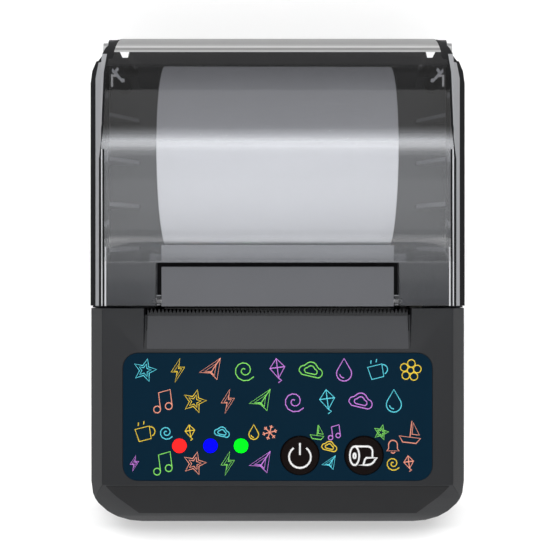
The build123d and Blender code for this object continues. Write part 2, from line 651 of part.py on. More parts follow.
# Clear cover: a low skirt with a chamfered edge, and a drafted dome over the roll
def cover_form(inset):
    """Outer form of the cover, or its hollow when inset by the wall."""
    bottom = COVER_BOTTOM - inset
    flat = COVER_FLAT_Z - inset
    front_radius = FRONT_ARC_RADIUS - inset
    rear_radius = REAR_ARC_RADIUS - inset
    front_centre = HEIGHT - FRONT_ARC_RADIUS
    rear_centre = HEIGHT - REAR_ARC_RADIUS
    crease_y = CREST_Y - sqrt(front_radius**2 - (flat - front_centre) ** 2)
    rear_y = CREST_Y + sqrt(rear_radius**2 - (COVER_BOTTOM - rear_centre) ** 2)
    front_y = COVER_FRONT + inset
    draft_run = (COVER_FLAT_Z - bottom) * tan(radians(DOME_DRAFT))
    dome_half = DOME_SIDE - inset / cos(radians(DOME_DRAFT)) + draft_run
    with BuildPart() as form:
        # Skirt
        with BuildSketch(Plane.XY.offset(bottom)):
            add(plan_outline(inset, FRONT, REAR - inset))
        extrude(amount=flat - bottom)
        chamfer(form.faces().sort_by(Axis.Z)[-1].edges(), EDGE_CHAMFER - inset * (2 - sqrt(2)))
        # Dome
        with BuildSketch(Plane.XY.offset(bottom)):
            add(rounded_outline(dome_half, FRONT, REAR - inset + draft_run,
                                CORNER_RADIUS - EDGE_CHAMFER - inset + draft_run))
        extrude(amount=HEIGHT - bottom, taper=DOME_DRAFT)
        # Side view of the cover
        with BuildSketch(Plane.YZ.offset(-SIDE - 1)):
            with BuildLine():
                Line((front_y, bottom), (front_y, flat))
                Line((front_y, flat), (crease_y, flat))
                RadiusArc((crease_y, flat), (CREST_Y, HEIGHT - inset), front_radius)
                RadiusArc((CREST_Y, HEIGHT - inset), (rear_y, COVER_BOTTOM), rear_radius)
                Line((rear_y, COVER_BOTTOM), (rear_y, bottom - 1))
                Line((rear_y, bottom - 1), (front_y, bottom - 1))
                Line((front_y, bottom - 1), (front_y, bottom))
            make_face()
        extrude(amount=2 * SIDE + 2, mode=Mode.INTERSECT)
    return form.part


cover_outside = cover_form(0)
cover_inside = cover_form(COVER_WALL)
with BuildPart() as cover_shell:
    add(cover_outside)
    add(cover_inside, mode=Mode.SUBTRACT)
    # Bead along the rear edge, which turns round the hinge pins
    rod((-BEAD_HALF, HINGE_Y, HINGE_Z), BEAD_RADIUS, 2 * BEAD_HALF, "X")
    bore((-EAR_INNER, HINGE_Y, HINGE_Z), HINGE_PIN_RADIUS + FIT, 2 * EAR_INNER, "X")
    # Notches round the hinge ears
    for side in (-1, 1):
        box_between((side * (SIDE + EAR_INNER - GAP) / 2 - (SIDE - EAR_INNER + GAP) / 2,
                     HINGE_Y - EAR_RADIUS - EAR_CLEARANCE, COVER_BOTTOM - 5),
                    (side * (SIDE + EAR_INNER - GAP) / 2 + (SIDE - EAR_INNER + GAP) / 2,
                     REAR + 1, HINGE_Z + EAR_RADIUS + EAR_CLEARANCE), Mode.SUBTRACT)
    # Window for the release lever, between two lugs at the front edge
    box_between((-WINDOW_HALF, LUG_REAR, COVER_FLAT_Z - 4), (WINDOW_HALF, WINDOW_REAR, COVER_FLAT_Z + 1),
                Mode.SUBTRACT)
    box_between((-LEVER_HALF - GAP, COVER_FRONT - 1, COVER_BOTTOM - 1),
                (LEVER_HALF + GAP, LUG_REAR, COVER_FLAT_Z + 1), Mode.SUBTRACT)
    # The front wall is cut back to make room for the platen bracket.
    box_between((-BRACKET_WING_HALF - SLIP, COVER_FRONT - 1, COVER_BOTTOM - 1),
                (BRACKET_WING_HALF + SLIP, LUG_REAR, COVER_FLAT_Z - COVER_WALL), Mode.SUBTRACT)
    for side in (-1, 1):
        middle = side * (LEVER_HALF + GAP + LUG_WIDTH / 2)
        box_between((middle - LUG_WIDTH / 2, COVER_FRONT, LUG_BOTTOM),
                    (middle + LUG_WIDTH / 2, LUG_REAR, COVER_FLAT_Z))
    bore((-WINDOW_HALF - 1, LEVER_PIVOT_Y, LEVER_PIVOT_Z), LEVER_PIN_RADIUS + FIT, 2 * WINDOW_HALF + 2, "X",
         SMALL_SIDES)
save(cover_shell.part, "cover_shell")

for name, side in (("left", -1), ("right", 1)):
    with BuildPart() as hinge_pin:
        low = min(side * (BEAD_HALF - PIN_REACH), side * EAR_OUTER)
        rod((low, HINGE_Y, HINGE_Z), HINGE_PIN_RADIUS, EAR_OUTER - BEAD_HALF + PIN_REACH, "X")
        head = min(side * EAR_OUTER, side * (EAR_OUTER + PIN_HEAD))
        rod((head, HINGE_Y, HINGE_Z), PIN_HEAD_RADIUS, PIN_HEAD, "X", sides=SMALL_SIDES)
    save(hinge_pin.part, f"{name}_hinge_pin")

# Paper tray: shelf, well for the roll, side gussets and hinge guard
TRAY_SIDE = INNER_SIDE - TRAY_MARGIN
WELL_OUTSIDE = WELL_HALF + TRAY_WALL
WELL_TOP = WELL_Z + WELL_RADIUS + TRAY_WALL + 1
with BuildPart() as paper_tray:
    with BuildSketch(Plane.XY.offset(SHELF_Z - TRAY_WALL)):
        add(plan_outline(WALL + TRAY_MARGIN, FRONT, REAR - WALL - TRAY_MARGIN))
        with Locations((0, (SHELF_FRONT + FRONT) / 2)):
            Rectangle(WIDTH, SHELF_FRONT - FRONT, mode=Mode.SUBTRACT)
        with Locations((0, (SHELF_REAR + REAR) / 2)):
            Rectangle(2 * GUARD_HALF + 2 * GAP, REAR - SHELF_REAR, mode=Mode.SUBTRACT)
        with Locations((0, (TRAY_TAB_REAR + REAR) / 2)):
            Rectangle(WIDTH, REAR - TRAY_TAB_REAR, mode=Mode.SUBTRACT)
    extrude(amount=TRAY_WALL)
    across([(SHELF_REAR - 1.0, SHELF_Z - TRAY_WALL), (SHELF_REAR - 1.0, SHELF_Z), (SHELF_REAR, SHELF_Z),
            (GUARD_TOP_Y - GUARD_TOP_WALL / 2, GUARD_TOP_Z), (GUARD_TOP_Y + GUARD_TOP_WALL / 2, GUARD_TOP_Z),
            (SHELF_REAR + 1.0, SHELF_Z - TRAY_WALL)], GUARD_HALF)
    # Well: a half round trough with end walls
    rod((-WELL_OUTSIDE, ROLL_Y, WELL_Z), WELL_RADIUS + TRAY_WALL, 2 * WELL_OUTSIDE, "X", sides=ROLL_SIDES)
    box_between((-WELL_OUTSIDE, SHELF_FRONT - WELL_RADIUS, SHELF_Z),
                (WELL_OUTSIDE, ROLL_Y + WELL_RADIUS / 2, WELL_TOP), Mode.SUBTRACT)
    box_between((-WELL_OUTSIDE, ROLL_Y, WELL_REAR_TOP), (WELL_OUTSIDE, GUARD_TOP_Y - 3.0, WELL_TOP),
                Mode.SUBTRACT)
    box_between((-WELL_OUTSIDE, ROLL_Y, GUARD_TOP_Z), (WELL_OUTSIDE, REAR, WELL_TOP), Mode.SUBTRACT)
    rod((-WELL_HALF, ROLL_Y, WELL_Z), WELL_RADIUS, 2 * WELL_HALF, "X", Mode.SUBTRACT, ROLL_SIDES)
    for side in (-1, 1):
        # Gussets stand on the shelf against the side walls
        for y in GUSSET_Y:
            with BuildSketch(Plane.XZ.offset(-y - GUSSET_THICKNESS / 2)):
                with BuildLine():
                    Polyline((side * GUSSET_INNER, SHELF_Z), (side * TRAY_SIDE, RIM_Z - GUSSET_DROP),
                             (side * TRAY_SIDE, SHELF_Z - SINK), (side * GUSSET_INNER, SHELF_Z - SINK),
                             close=True)
                make_face()
            extrude(amount=GUSSET_THICKNESS)
        box_between((side * GUARD_WINDOW_X - GUARD_WINDOW_WIDTH / 2, GUARD_TOP_Y - 2.6, GUARD_TOP_Z - 2.4),
                    (side * GUARD_WINDOW_X + GUARD_WINDOW_WIDTH / 2, GUARD_TOP_Y + 2, GUARD_TOP_Z - 0.6),
                    Mode.SUBTRACT)
    for x, y in TRAY_POST_POINTS:
        post(x, y, SHELF_Z - TRAY_WALL, SCREW_RADIUS + SLIP, TRAY_WALL, Mode.SUBTRACT)
save(paper_tray.part, "paper_tray")

with BuildPart() as tray_screws:
    for x, y in TRAY_POST_POINTS:
        screw(x, y, SHELF_Z, SHELF_Z - TRAY_SCREW_LENGTH)
save(tray_screws.part, "tray_screws")

# Paper roll on its core
with BuildPart() as paper_roll:
    rod((-ROLL_WIDTH / 2, ROLL_Y, ROLL_Z), ROLL_RADIUS, ROLL_WIDTH, "X", sides=ROLL_SIDES)
    rod((-ROLL_WIDTH / 2, ROLL_Y, ROLL_Z), CORE_RADIUS + SLIP, ROLL_WIDTH, "X", Mode.SUBTRACT)
save(paper_roll.part, "paper_roll")

with BuildPart() as roll_core:
    rod((-ROLL_WIDTH / 2, ROLL_Y, ROLL_Z), CORE_RADIUS, ROLL_WIDTH, "X")
    rod((-ROLL_WIDTH / 2, ROLL_Y, ROLL_Z), CORE_RADIUS - CORE_WALL, ROLL_WIDTH, "X", Mode.SUBTRACT)
save(roll_core.part, "roll_core")

# Chassis of the print mechanism: two side plates, a cross wall and a foot
with BuildPart() as print_chassis:
    for side in (-1, 1):
        start = min(side * PLATE_INNER, side * PLATE_OUTER)
        box_between((start, CHASSIS_FRONT, CHASSIS_Z), (start + PLATE_THICKNESS, CHASSIS_REAR, PLATE_TOP))
        foot = min(side * PLATE_OUTER, side * CHASSIS_FOOT_HALF)
        box_between((foot, CHASSIS_FRONT, CHASSIS_Z),
                    (foot + CHASSIS_FOOT_HALF - PLATE_OUTER, CHASSIS_FOOT_REAR, CHASSIS_Z + PLATE_THICKNESS))
    box_between((-PLATE_INNER, CHASSIS_FRONT, CHASSIS_Z),
                (PLATE_INNER, CHASSIS_REAR, CHASSIS_Z + PLATE_THICKNESS))
    box_between((-PLATE_INNER, CHASSIS_FRONT, CHASSIS_Z),
                (PLATE_INNER, CHASSIS_FRONT + PLATE_THICKNESS, PLATE_TOP - 2))
    # Open notches that catch the platen bushes
    rod((-PLATE_OUTER, PLATEN_Y, PLATEN_Z), BUSH_RADIUS + GAP, 2 * PLATE_OUTER, "X", Mode.SUBTRACT)
    box_between((-PLATE_OUTER, PLATEN_Y - BUSH_RADIUS - GAP, PLATEN_Z),
                (PLATE_OUTER, PLATEN_Y + BUSH_RADIUS + GAP, PLATE_TOP), Mode.SUBTRACT)
    # Bores for the head's pivots and the motor shaft, and the idler's pin
    bore((-PLATE_OUTER, HEAD_PIVOT_Y, HEAD_PIVOT_Z), HEAD_PIN_RADIUS + FIT, 2 * PLATE_OUTER, "X", SMALL_SIDES)
    bore((0, MOTOR_Y, MOTOR_Z), MOTOR_BORE_RADIUS, PLATE_OUTER, "X", SMALL_SIDES)
    rod((PLATE_INNER, IDLER_Y, IDLER_Z), IDLER_PIN_RADIUS, GEAR_X + GEAR_WIDTH + PIN_END - PLATE_INNER, "X")
    for x, y in CHASSIS_LUG_POINTS:
        post(x, y, CHASSIS_Z, SCREW_RADIUS + SLIP, PLATE_THICKNESS, Mode.SUBTRACT)
save(print_chassis.part, "print_chassis")

with BuildPart() as chassis_screws:
    for x, y in CHASSIS_LUG_POINTS:
        screw(x, y, CHASSIS_Z + PLATE_THICKNESS, FLOOR_TOP - CHASSIS_SCREW_REACH)
save(chassis_screws.part, "chassis_screws")

# Thermal head: ceramic board on a heat sink that tilts on two side pins
HEAD_BACK = HEAD_FACE_Y - HEAD_BOARD - HEAD_SINK
with BuildPart() as head_board:
    box_between((-HEAD_HALF, HEAD_FACE_Y - HEAD_BOARD, HEAD_BOTTOM + 3),
                (HEAD_HALF, HEAD_FACE_Y, HEAD_TOP))
save(head_board.part, "head_board")

with BuildPart() as head_heat_sink:
    box_between((-HEAD_HALF, HEAD_BACK, HEAD_BOTTOM), (HEAD_HALF, HEAD_FACE_Y - HEAD_BOARD, HEAD_TOP))
    for side in (-1, 1):
        start = min(side * (HEAD_HALF - 1), side * (PLATE_OUTER - 0.4))
        rod((start, HEAD_PIVOT_Y, HEAD_PIVOT_Z), HEAD_PIN_RADIUS, PLATE_OUTER - 0.4 - HEAD_HALF + 1, "X",
            sides=SMALL_SIDES)
save(head_heat_sink.part, "head_heat_sink")

with BuildPart() as head_springs:
    wall_y = CHASSIS_FRONT + PLATE_THICKNESS
    crown_y = HEAD_BACK - GAP - SLIP
    for x in SPRING_X:
        with BuildSketch(Plane.YZ.offset(x)):
            with BuildLine():
                Polyline((wall_y, SPRING_Z - SPRING_REACH), (crown_y, SPRING_Z - SPRING_CROWN),
                         (crown_y, SPRING_Z + SPRING_CROWN), (wall_y, SPRING_Z + SPRING_REACH),
                         (wall_y, SPRING_Z + SPRING_REACH - SPRING_LEAF),
                         (crown_y - SPRING_LEAF, SPRING_Z + SPRING_CROWN - SPRING_LEAF / 2),
                         (crown_y - SPRING_LEAF, SPRING_Z - SPRING_CROWN + SPRING_LEAF / 2),
                         (wall_y, SPRING_Z - SPRING_REACH + SPRING_LEAF), close=True)
            make_face()
        extrude(amount=SPRING_WIDTH)
save(head_springs.part, "head_springs")


# Gears with involute flanks, thinned a little for backlash
def involute(base, radius):
    """Angle in radians between an involute's start and its point at a radius."""
    if radius <= base:
        return 0.0
    pressure = acos(base / radius)
    return tan(pressure) - pressure


def gear_outline(teeth, first_tooth):
    """Closed outline of a gear with one tooth's middle at an angle in degrees."""
    pitch = MODULE * teeth / 2
    base = pitch * cos(radians(PRESSURE_ANGLE))
    tip = pitch + MODULE * ADDENDUM
    root = pitch - MODULE * DEDENDUM
    half_tooth = (pi / 2 - BACKLASH / MODULE) / teeth + involute(base, pitch)
    flank_radii = [root, (base + tip) / 2, tip]
    points = []
    for tooth in range(teeth):
        middle = radians(first_tooth) + 2 * pi * tooth / teeth
        rising = [(radius, middle - half_tooth + involute(base, radius)) for radius in flank_radii]
        falling = [(radius, 2 * middle - angle) for radius, angle in reversed(rising)]
        points += [(r * cos(a), r * sin(a)) for r, a in rising + falling]
    return points


def spur_gear(y, z, teeth, bore_radius, first_tooth, label):
    """Gear across the printer at its axis, with its own bore, written under its label."""
    with BuildPart() as gear:
        with BuildSketch(Plane((GEAR_X, y, z), x_dir=(0, 1, 0), z_dir=(1, 0, 0))):
            with BuildLine():
                Polyline(*gear_outline(teeth, first_tooth), close=True)
            make_face()
            RegularPolygon(bore_radius / cos(pi / ROUND_SIDES), ROUND_SIDES, mode=Mode.SUBTRACT)
        extrude(amount=GEAR_WIDTH)
    save(gear.part, label)


# A tooth of the idler points up into a gap of the platen gear, and another one's
# direction settles how the pinion is turned.
spur_gear(PLATEN_Y, PLATEN_Z, PLATEN_TEETH, PLATEN_SHAFT_RADIUS + FIT, -90 + 180 / PLATEN_TEETH, "platen_gear")
spur_gear(IDLER_Y, IDLER_Z, IDLER_TEETH, IDLER_PIN_RADIUS + FIT, 90, "idler_gear")
mesh_angle = degrees(atan2(MOTOR_Z - IDLER_Z, MOTOR_Y - IDLER_Y))
idler_phase = (mesh_angle - 90) * IDLER_TEETH / 360
pinion_tooth = mesh_angle + 180 + (idler_phase + 0.5) * 360 / PINION_TEETH
spur_gear(MOTOR_Y, MOTOR_Z, PINION_TEETH, MOTOR_SHAFT_RADIUS + FIT, pinion_tooth, "motor_pinion")

# Motor on the inner face of the right side plate
MOTOR_FACE = PLATE_INNER - SLIP
with BuildPart() as feed_motor:
    rod((MOTOR_FACE - MOTOR_LENGTH, MOTOR_Y, MOTOR_Z), MOTOR_RADIUS, MOTOR_LENGTH, "X")
    box_between((MOTOR_FACE - MOTOR_EAR, MOTOR_Y, MOTOR_Z - 2.0),
                (MOTOR_FACE, MOTOR_Y + MOTOR_RADIUS + 1.0, MOTOR_Z + 2.0))
    bore((MOTOR_FACE - MOTOR_SHAFT_REACH, MOTOR_Y, MOTOR_Z), MOTOR_SHAFT_RADIUS + FIT, MOTOR_SHAFT_REACH, "X")
save(feed_motor.part, "feed_motor")

with BuildPart() as motor_shaft:
    rod((MOTOR_FACE - MOTOR_SHAFT_REACH + SLIP, MOTOR_Y, MOTOR_Z), MOTOR_SHAFT_RADIUS,
        GEAR_X + GEAR_WIDTH + GAP - MOTOR_FACE + MOTOR_SHAFT_REACH - SLIP, "X")
save(motor_shaft.part, "motor_shaft")

# Platen: rubber on a steel shaft, in two bushes
with BuildPart() as platen_rubber:
    rod((-PLATEN_HALF, PLATEN_Y, PLATEN_Z), PLATEN_RADIUS, 2 * PLATEN_HALF, "X", sides=2 * ROUND_SIDES)
    rod((-PLATEN_HALF, PLATEN_Y, PLATEN_Z), PLATEN_SHAFT_RADIUS + FIT, 2 * PLATEN_HALF, "X", Mode.SUBTRACT)
save(platen_rubber.part, "platen_rubber")

with BuildPart() as platen_shaft:
    rod((-PLATE_OUTER - SHAFT_END, PLATEN_Y, PLATEN_Z), PLATEN_SHAFT_RADIUS,
        PLATE_OUTER + SHAFT_END + GEAR_X + GEAR_WIDTH + PIN_END, "X")
save(platen_shaft.part, "platen_shaft")

for name, side in (("left", -1), ("right", 1)):
    with BuildPart() as bush:
        start = min(side * CHEEK_INNER, side * (PLATE_OUTER + 0.2))
        rod((start, PLATEN_Y, PLATEN_Z), BUSH_RADIUS, PLATE_OUTER + 0.2 - CHEEK_INNER, "X")
        bore((start, PLATEN_Y, PLATEN_Z), PLATEN_SHAFT_RADIUS + FIT, PLATE_OUTER + 0.2 - CHEEK_INNER, "X")
    save(bush.part, f"{name}_platen_bush")

# Bracket that carries the platen, bonded under the cover's flat front
WING_INNER = WINDOW_HALF + WING_GAP
with BuildPart() as platen_bracket:
    box_between((-CHEEK_OUTER - PLATE_GAP - 1, BRACKET_FRONT + 1, BRACKET_PLATE_Z),
                (CHEEK_OUTER + PLATE_GAP + 1, BRACKET_REAR, BRACKET_PLATE_Z + BRACKET_PLATE))
    for side in (-1, 1):
        cheek = min(side * CHEEK_INNER, side * CHEEK_OUTER)
        rod((cheek, PLATEN_Y, PLATEN_Z), CHEEK_RADIUS, CHEEK_THICKNESS, "X")
        box_between((cheek, PLATEN_Y - BUSH_RADIUS, PLATEN_Z),
                    (cheek + CHEEK_THICKNESS, PLATEN_Y + BUSH_RADIUS, BRACKET_PLATE_Z + SLIP))
        wing = min(side * WING_INNER, side * BRACKET_WING_HALF)
        box_between((wing, BRACKET_FRONT, BRACKET_WING_Z),
                    (wing + BRACKET_WING_HALF - WING_INNER, BRACKET_WING_REAR, COVER_FLAT_Z - COVER_WALL))
    rod((-CHEEK_OUTER, PLATEN_Y, PLATEN_Z), BUSH_RADIUS + FIT, 2 * CHEEK_OUTER, "X", Mode.SUBTRACT)
save(platen_bracket.part, "platen_bracket")

# Release lever: a flap whose rear edge lifts, on a steel pin, with its leaf spring
with BuildPart() as release_lever:
    box_between((-LEVER_HALF, LEVER_FRONT, COVER_FLAT_Z - LEVER_THICKNESS),
                (LEVER_HALF, LEVER_REAR, COVER_FLAT_Z))
    rod((-LEVER_HALF, LEVER_PIVOT_Y, LEVER_PIVOT_Z), LEVER_PIN_RADIUS + LEVER_EYE, 2 * LEVER_HALF, "X",
        sides=SMALL_SIDES)
    bore((-LEVER_HALF, LEVER_PIVOT_Y, LEVER_PIVOT_Z), LEVER_PIN_RADIUS + FIT, 2 * LEVER_HALF, "X", SMALL_SIDES)
save(release_lever.part, "release_lever")

with BuildPart() as lever_pin:
    rod((-WINDOW_HALF, LEVER_PIVOT_Y, LEVER_PIVOT_Z), LEVER_PIN_RADIUS, 2 * WINDOW_HALF, "X",
        sides=SMALL_SIDES)
save(lever_pin.part, "lever_pin")

with BuildPart() as lever_spring:
    plate_top = BRACKET_PLATE_Z + BRACKET_PLATE
    lever_bottom = COVER_FLAT_Z - LEVER_THICKNESS
    leaf = 0.2
    foot_y = BRACKET_FRONT + 3.3
    across([(foot_y, plate_top), (foot_y, plate_top + leaf), (foot_y + 3.0, plate_top + leaf),
            (foot_y + 5.5, lever_bottom - leaf), (foot_y + 5.7, lever_bottom - 2 * leaf),
            (foot_y + 3.1, plate_top)], LEVER_SPRING_HALF)
save(lever_spring.part, "lever_spring")

# Charging port on its own small board
with BuildPart() as port_board:
    box_between((PORT_X - PORT_BOARD_HALF, PORT_INNER_Y - PORT_BOARD_DEPTH, PORT_Z - BOARD_THICKNESS),
                (PORT_X + PORT_BOARD_HALF, PORT_INNER_Y, PORT_Z))
save(port_board.part, "port_board")

SOCKET_BACK = PORT_INNER_Y - PORT_DEPTH
with BuildPart() as port_socket:
    box_between((PORT_X - PORT_WIDTH / 2, SOCKET_BACK, PORT_Z),
                (PORT_X + PORT_WIDTH / 2, PORT_INNER_Y, PORT_Z + PORT_HEIGHT))
    chamfer(port_socket.edges().filter_by(Axis.Y), PORT_CORNER)
    with BuildSketch(Plane.XZ.offset(-PORT_INNER_Y)) as mouth:
        with Locations((PORT_X, PORT_Z + PORT_HEIGHT / 2)):
            Rectangle(PORT_WIDTH - 2 * PORT_SHELL, PORT_HEIGHT - 2 * PORT_SHELL)
        chamfer(mouth.vertices(), PORT_CORNER - PORT_SHELL * (2 - sqrt(2)))
    extrude(amount=PORT_DEPTH - 1.0, mode=Mode.SUBTRACT)
    box_between((PORT_X - 3.2, SOCKET_BACK + 0.5, PORT_Z + PORT_HEIGHT / 2 - 0.35),
                (PORT_X + 3.2, PORT_INNER_Y - 1.0, PORT_Z + PORT_HEIGHT / 2 + 0.35))
save(port_socket.part, "port_socket")
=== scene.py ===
from math import cos, pi, radians, sin

import bpy
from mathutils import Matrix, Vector


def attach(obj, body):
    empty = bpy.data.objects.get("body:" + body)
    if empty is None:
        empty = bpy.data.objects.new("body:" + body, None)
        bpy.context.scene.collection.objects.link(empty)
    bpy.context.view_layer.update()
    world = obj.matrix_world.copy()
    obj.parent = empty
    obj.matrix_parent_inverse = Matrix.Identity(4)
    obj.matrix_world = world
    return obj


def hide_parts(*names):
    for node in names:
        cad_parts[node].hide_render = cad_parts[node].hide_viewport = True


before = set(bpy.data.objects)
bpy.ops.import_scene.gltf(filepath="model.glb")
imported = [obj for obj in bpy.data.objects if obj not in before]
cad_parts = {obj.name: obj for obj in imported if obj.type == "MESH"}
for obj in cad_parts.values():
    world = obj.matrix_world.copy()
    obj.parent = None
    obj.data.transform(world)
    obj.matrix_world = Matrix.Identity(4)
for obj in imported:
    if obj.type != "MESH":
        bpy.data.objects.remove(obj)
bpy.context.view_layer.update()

# Lengths below are in millimetres and are turned to metres where a mesh or a lamp is made.
# X runs across the printer, +Y to the rear hinge, +Z up from the surface it stands on.
MM = 0.001

scene = bpy.context.scene
scene.view_settings.view_transform = "Standard"

DECK_Z = 38.5
FILM_DEPTH, FILM_Y = 32.0, -33.8
POWER_X, FEED_X, BUTTON_Y, BUTTON_TOP, BUTTON_RADIUS = 5.6, 21.7, -43.5, 38.9, 4.87
LENS_X, LENS_Y = (-24.7, -16.9, -9.2), -41.1
ROLL_Y, ROLL_Z, ROLL_HALF = 32.3, 28.5, 28.75
RAMP_TOP_Y, RAMP_FALL = -17.0, 2.6 / 10.6
SLOPE_TOP_Y, SLOPE_FALL = -50.9, 7.5 / 9.3

# Printed lines: the reach of a large and a small motif, and how far a line stands up
LARGE, SMALL = 2.7, 1.75
LINE_WIDTH, SYMBOL_WIDTH, LINE_HEIGHT = 0.3, 0.55, 0.03

# Bare plates: how far one lies over the face it dresses, and its thickness there
OVER, FACING = 0.02, 0.06

SIDES = (("left", -1), ("right", 1))


# Camera, straight above the middle of the printer
def make_camera():
    data = bpy.data.cameras.new("camera")
    data.lens = 62.8
    data.sensor_width = 36.0
    camera = bpy.data.objects.new("camera", data)
    scene.collection.objects.link(camera)
    camera.location = Vector((0.6, 0.6, 284.0)) * MM
    scene.camera = camera


# Materials
class Value:
    """A number that varies over a surface. Arithmetic on it adds Math nodes."""

    def __init__(self, finish, socket):
        self.finish = finish
        self.socket = socket

    def math(self, operation, *terms):
        inputs = dict(enumerate((self, *terms)))
        node = self.finish.add("ShaderNodeMath", {"operation": operation}, inputs)
        return Value(self.finish, node.outputs[0])

    def __add__(self, other):
        return self.math("ADD", other)

    def __sub__(self, other):
        return self.math("SUBTRACT", other)

    def __rsub__(self, other):
        node = self.finish.add("ShaderNodeMath", {"operation": "SUBTRACT"}, {0: other, 1: self})
        return Value(self.finish, node.outputs[0])

    def __mul__(self, other):
        return self.math("MULTIPLY", other)

    def __truediv__(self, other):
        return self.math("DIVIDE", other)

    def __gt__(self, other):
        return self.math("GREATER_THAN", other)

    def __lt__(self, other):
        return self.math("LESS_THAN", other)

    __radd__ = __add__
    __rmul__ = __mul__

    def absolute(self):
        return self.math("ABSOLUTE")

    def at_least(self, low):
        return self.math("MAXIMUM", low)

    def at_most(self, high):
        return self.math("MINIMUM", high)

    def clamped(self):
        return self.at_least(0.0).at_most(1.0)

    def within(self, low, high):
        """1 between the two limits and 0 outside them."""
        return (self > low) * (self < high)


class Finish:
    """A material with its nodes, ending in one Principled shader."""

    def __init__(self, name):
        self.material = bpy.data.materials.new(name)
        self.material.use_nodes = True
        self.tree = self.material.node_tree
        self.tree.nodes.clear()
        self.output = self.add("ShaderNodeOutputMaterial")
        self.shader = self.add("ShaderNodeBsdfPrincipled")
        self.link(self.shader.outputs[0], self.output.inputs["Surface"])

    def link(self, source, target):
        self.tree.links.new(source, target)

    def add(self, kind, settings=None, inputs=None):
        node = self.tree.nodes.new(kind)
        for key, value in (settings or {}).items():
            if key == "stops":
                ramp = node.color_ramp
                while len(ramp.elements) < len(value):
                    ramp.elements.new(0.5)
                for element, (place, colour) in zip(ramp.elements, value):
                    element.position = place
                    element.color = (*colour, 1.0)
            else:
                setattr(node, key, value)
        for key, value in (inputs or {}).items():
            self.feed(node.inputs[key], value)
        return node

    def feed(self, target, value):
        if isinstance(value, Value):
            self.link(value.socket, target)
        elif isinstance(value, bpy.types.NodeSocket):
            self.link(value, target)
        elif isinstance(value, tuple) and len(value) == 3 and target.type == "RGBA":
            target.default_value = (*value, 1.0)
        else:
            target.default_value = value

    def set(self, **sockets):
        for name, value in sockets.items():
            self.feed(self.shader.inputs[name.replace("_", " ")], value)

    def place(self):
        """The surface's own place, in metres, as an Object coordinate."""
        return self.add("ShaderNodeTexCoord").outputs["Object"]

    def axes(self, names="XYZ"):
        """The surface's own place along the named axes, in millimetres."""
        split = self.add("ShaderNodeSeparateXYZ", None, {0: self.place()})
        return [Value(self, split.outputs[name]) / MM for name in names]

    def noise(self, per_mm, detail=3.0, roughness=0.5, stretch=(1.0, 1.0, 1.0)):
        """Cloudy pattern with features of about 1/per_mm, stretched along an axis if asked."""
        mapping = self.add("ShaderNodeMapping", None, {"Vector": self.place(), "Scale": Vector(stretch)})
        node = self.add("ShaderNodeTexNoise", None,
                        {"Vector": mapping.outputs[0], "Scale": per_mm / MM, "Detail": detail,
                         "Roughness": roughness})
        return Value(self, node.outputs["Fac"])

    def graded(self, value, stops):
        """Grey that follows a value through stops of its place and the grey's level."""
        greys = [(place, (level,) * 3) for place, level in stops]
        return self.add("ShaderNodeValToRGB", {"stops": greys}, {0: value}).outputs[0]

    def between(self, mask, first, second):
        """Colour that goes from first to second as the mask goes from 0 to 1."""
        node = self.add("ShaderNodeMix", {"data_type": "RGBA"})
        self.feed(node.inputs["Factor"], mask)
        self.feed(node.inputs[6], first)
        self.feed(node.inputs[7], second)
        return node.outputs[2]

    def ranged(self, value, low, high):
        """A 0 to 1 pattern brought to run from low to high."""
        return value * (high - low) + low

    def relief(self, height, depth_mm):
        node = self.add("ShaderNodeBump", None,
                        {"Strength": 1.0, "Distance": depth_mm * MM, "Height": height})
        self.link(node.outputs[0], self.shader.inputs["Normal"])

    def opaque(self, colour, rough, specular):
        """One more plain shader, to be laid over part of the surface."""
        inputs = {"Base Color": colour, "Roughness": rough, "Specular IOR Level": specular}
        return self.add("ShaderNodeBsdfPrincipled", None, inputs).outputs[0]

    def black(self):
        return self.opaque((0.012, 0.012, 0.013), 0.6, 0.05)

    def over(self, mask, below, above):
        """The shader above where the mask is 1, the one below where it is 0."""
        return self.add("ShaderNodeMixShader", None, {0: mask, 1: below, 2: above}).outputs[0]


def srgb(red, green, blue):
    """Colour written in 0 to 255 as seen, turned to the linear values that shaders take."""
    def linear(channel):
        part = channel / 255.0
        return part / 12.92 if part <= 0.04045 else ((part + 0.055) / 1.055) ** 2.4
    return (linear(red), linear(green), linear(blue))


def shaded(colour, factor):
    return tuple(channel * factor for channel in colour)


def moulded_plastic(name, colour, rough=0.5, grain=0.02, spread=0.12, specular=0.5):
    """Moulded plastic: spark-eroded grain, slow drift of tone, and roughness that follows it."""
    finish = Finish(name)
    drift = finish.noise(0.05, 2.0)
    speckle = finish.noise(5.0, 2.0, 0.6)
    tone = finish.between(drift * 0.6 + speckle * 0.4, shaded(colour, 1.0 - spread),
                          shaded(colour, 1.0 + spread))
    finish.set(Base_Color=tone, Roughness=finish.ranged(speckle, rough - 0.05, rough + 0.07),
               Specular_IOR_Level=specular)
    finish.relief(finish.noise(3.2, 4.0, 0.62), grain)
    return finish.material


def brushed_metal(name, colour, rough=0.3):
    """Metal with fine lines along X and slight dulling."""
    finish = Finish(name)
    lines = finish.noise(6.0, 3.0, 0.6, (0.06, 1.0, 1.0))
    stain = finish.noise(0.3, 3.0)
    finish.set(Base_Color=finish.between(stain, shaded(colour, 0.86), colour),
               Roughness=finish.ranged(lines, rough - 0.08, rough + 0.12), Metallic=1.0)
    finish.relief(lines, 0.004)
    return finish.material


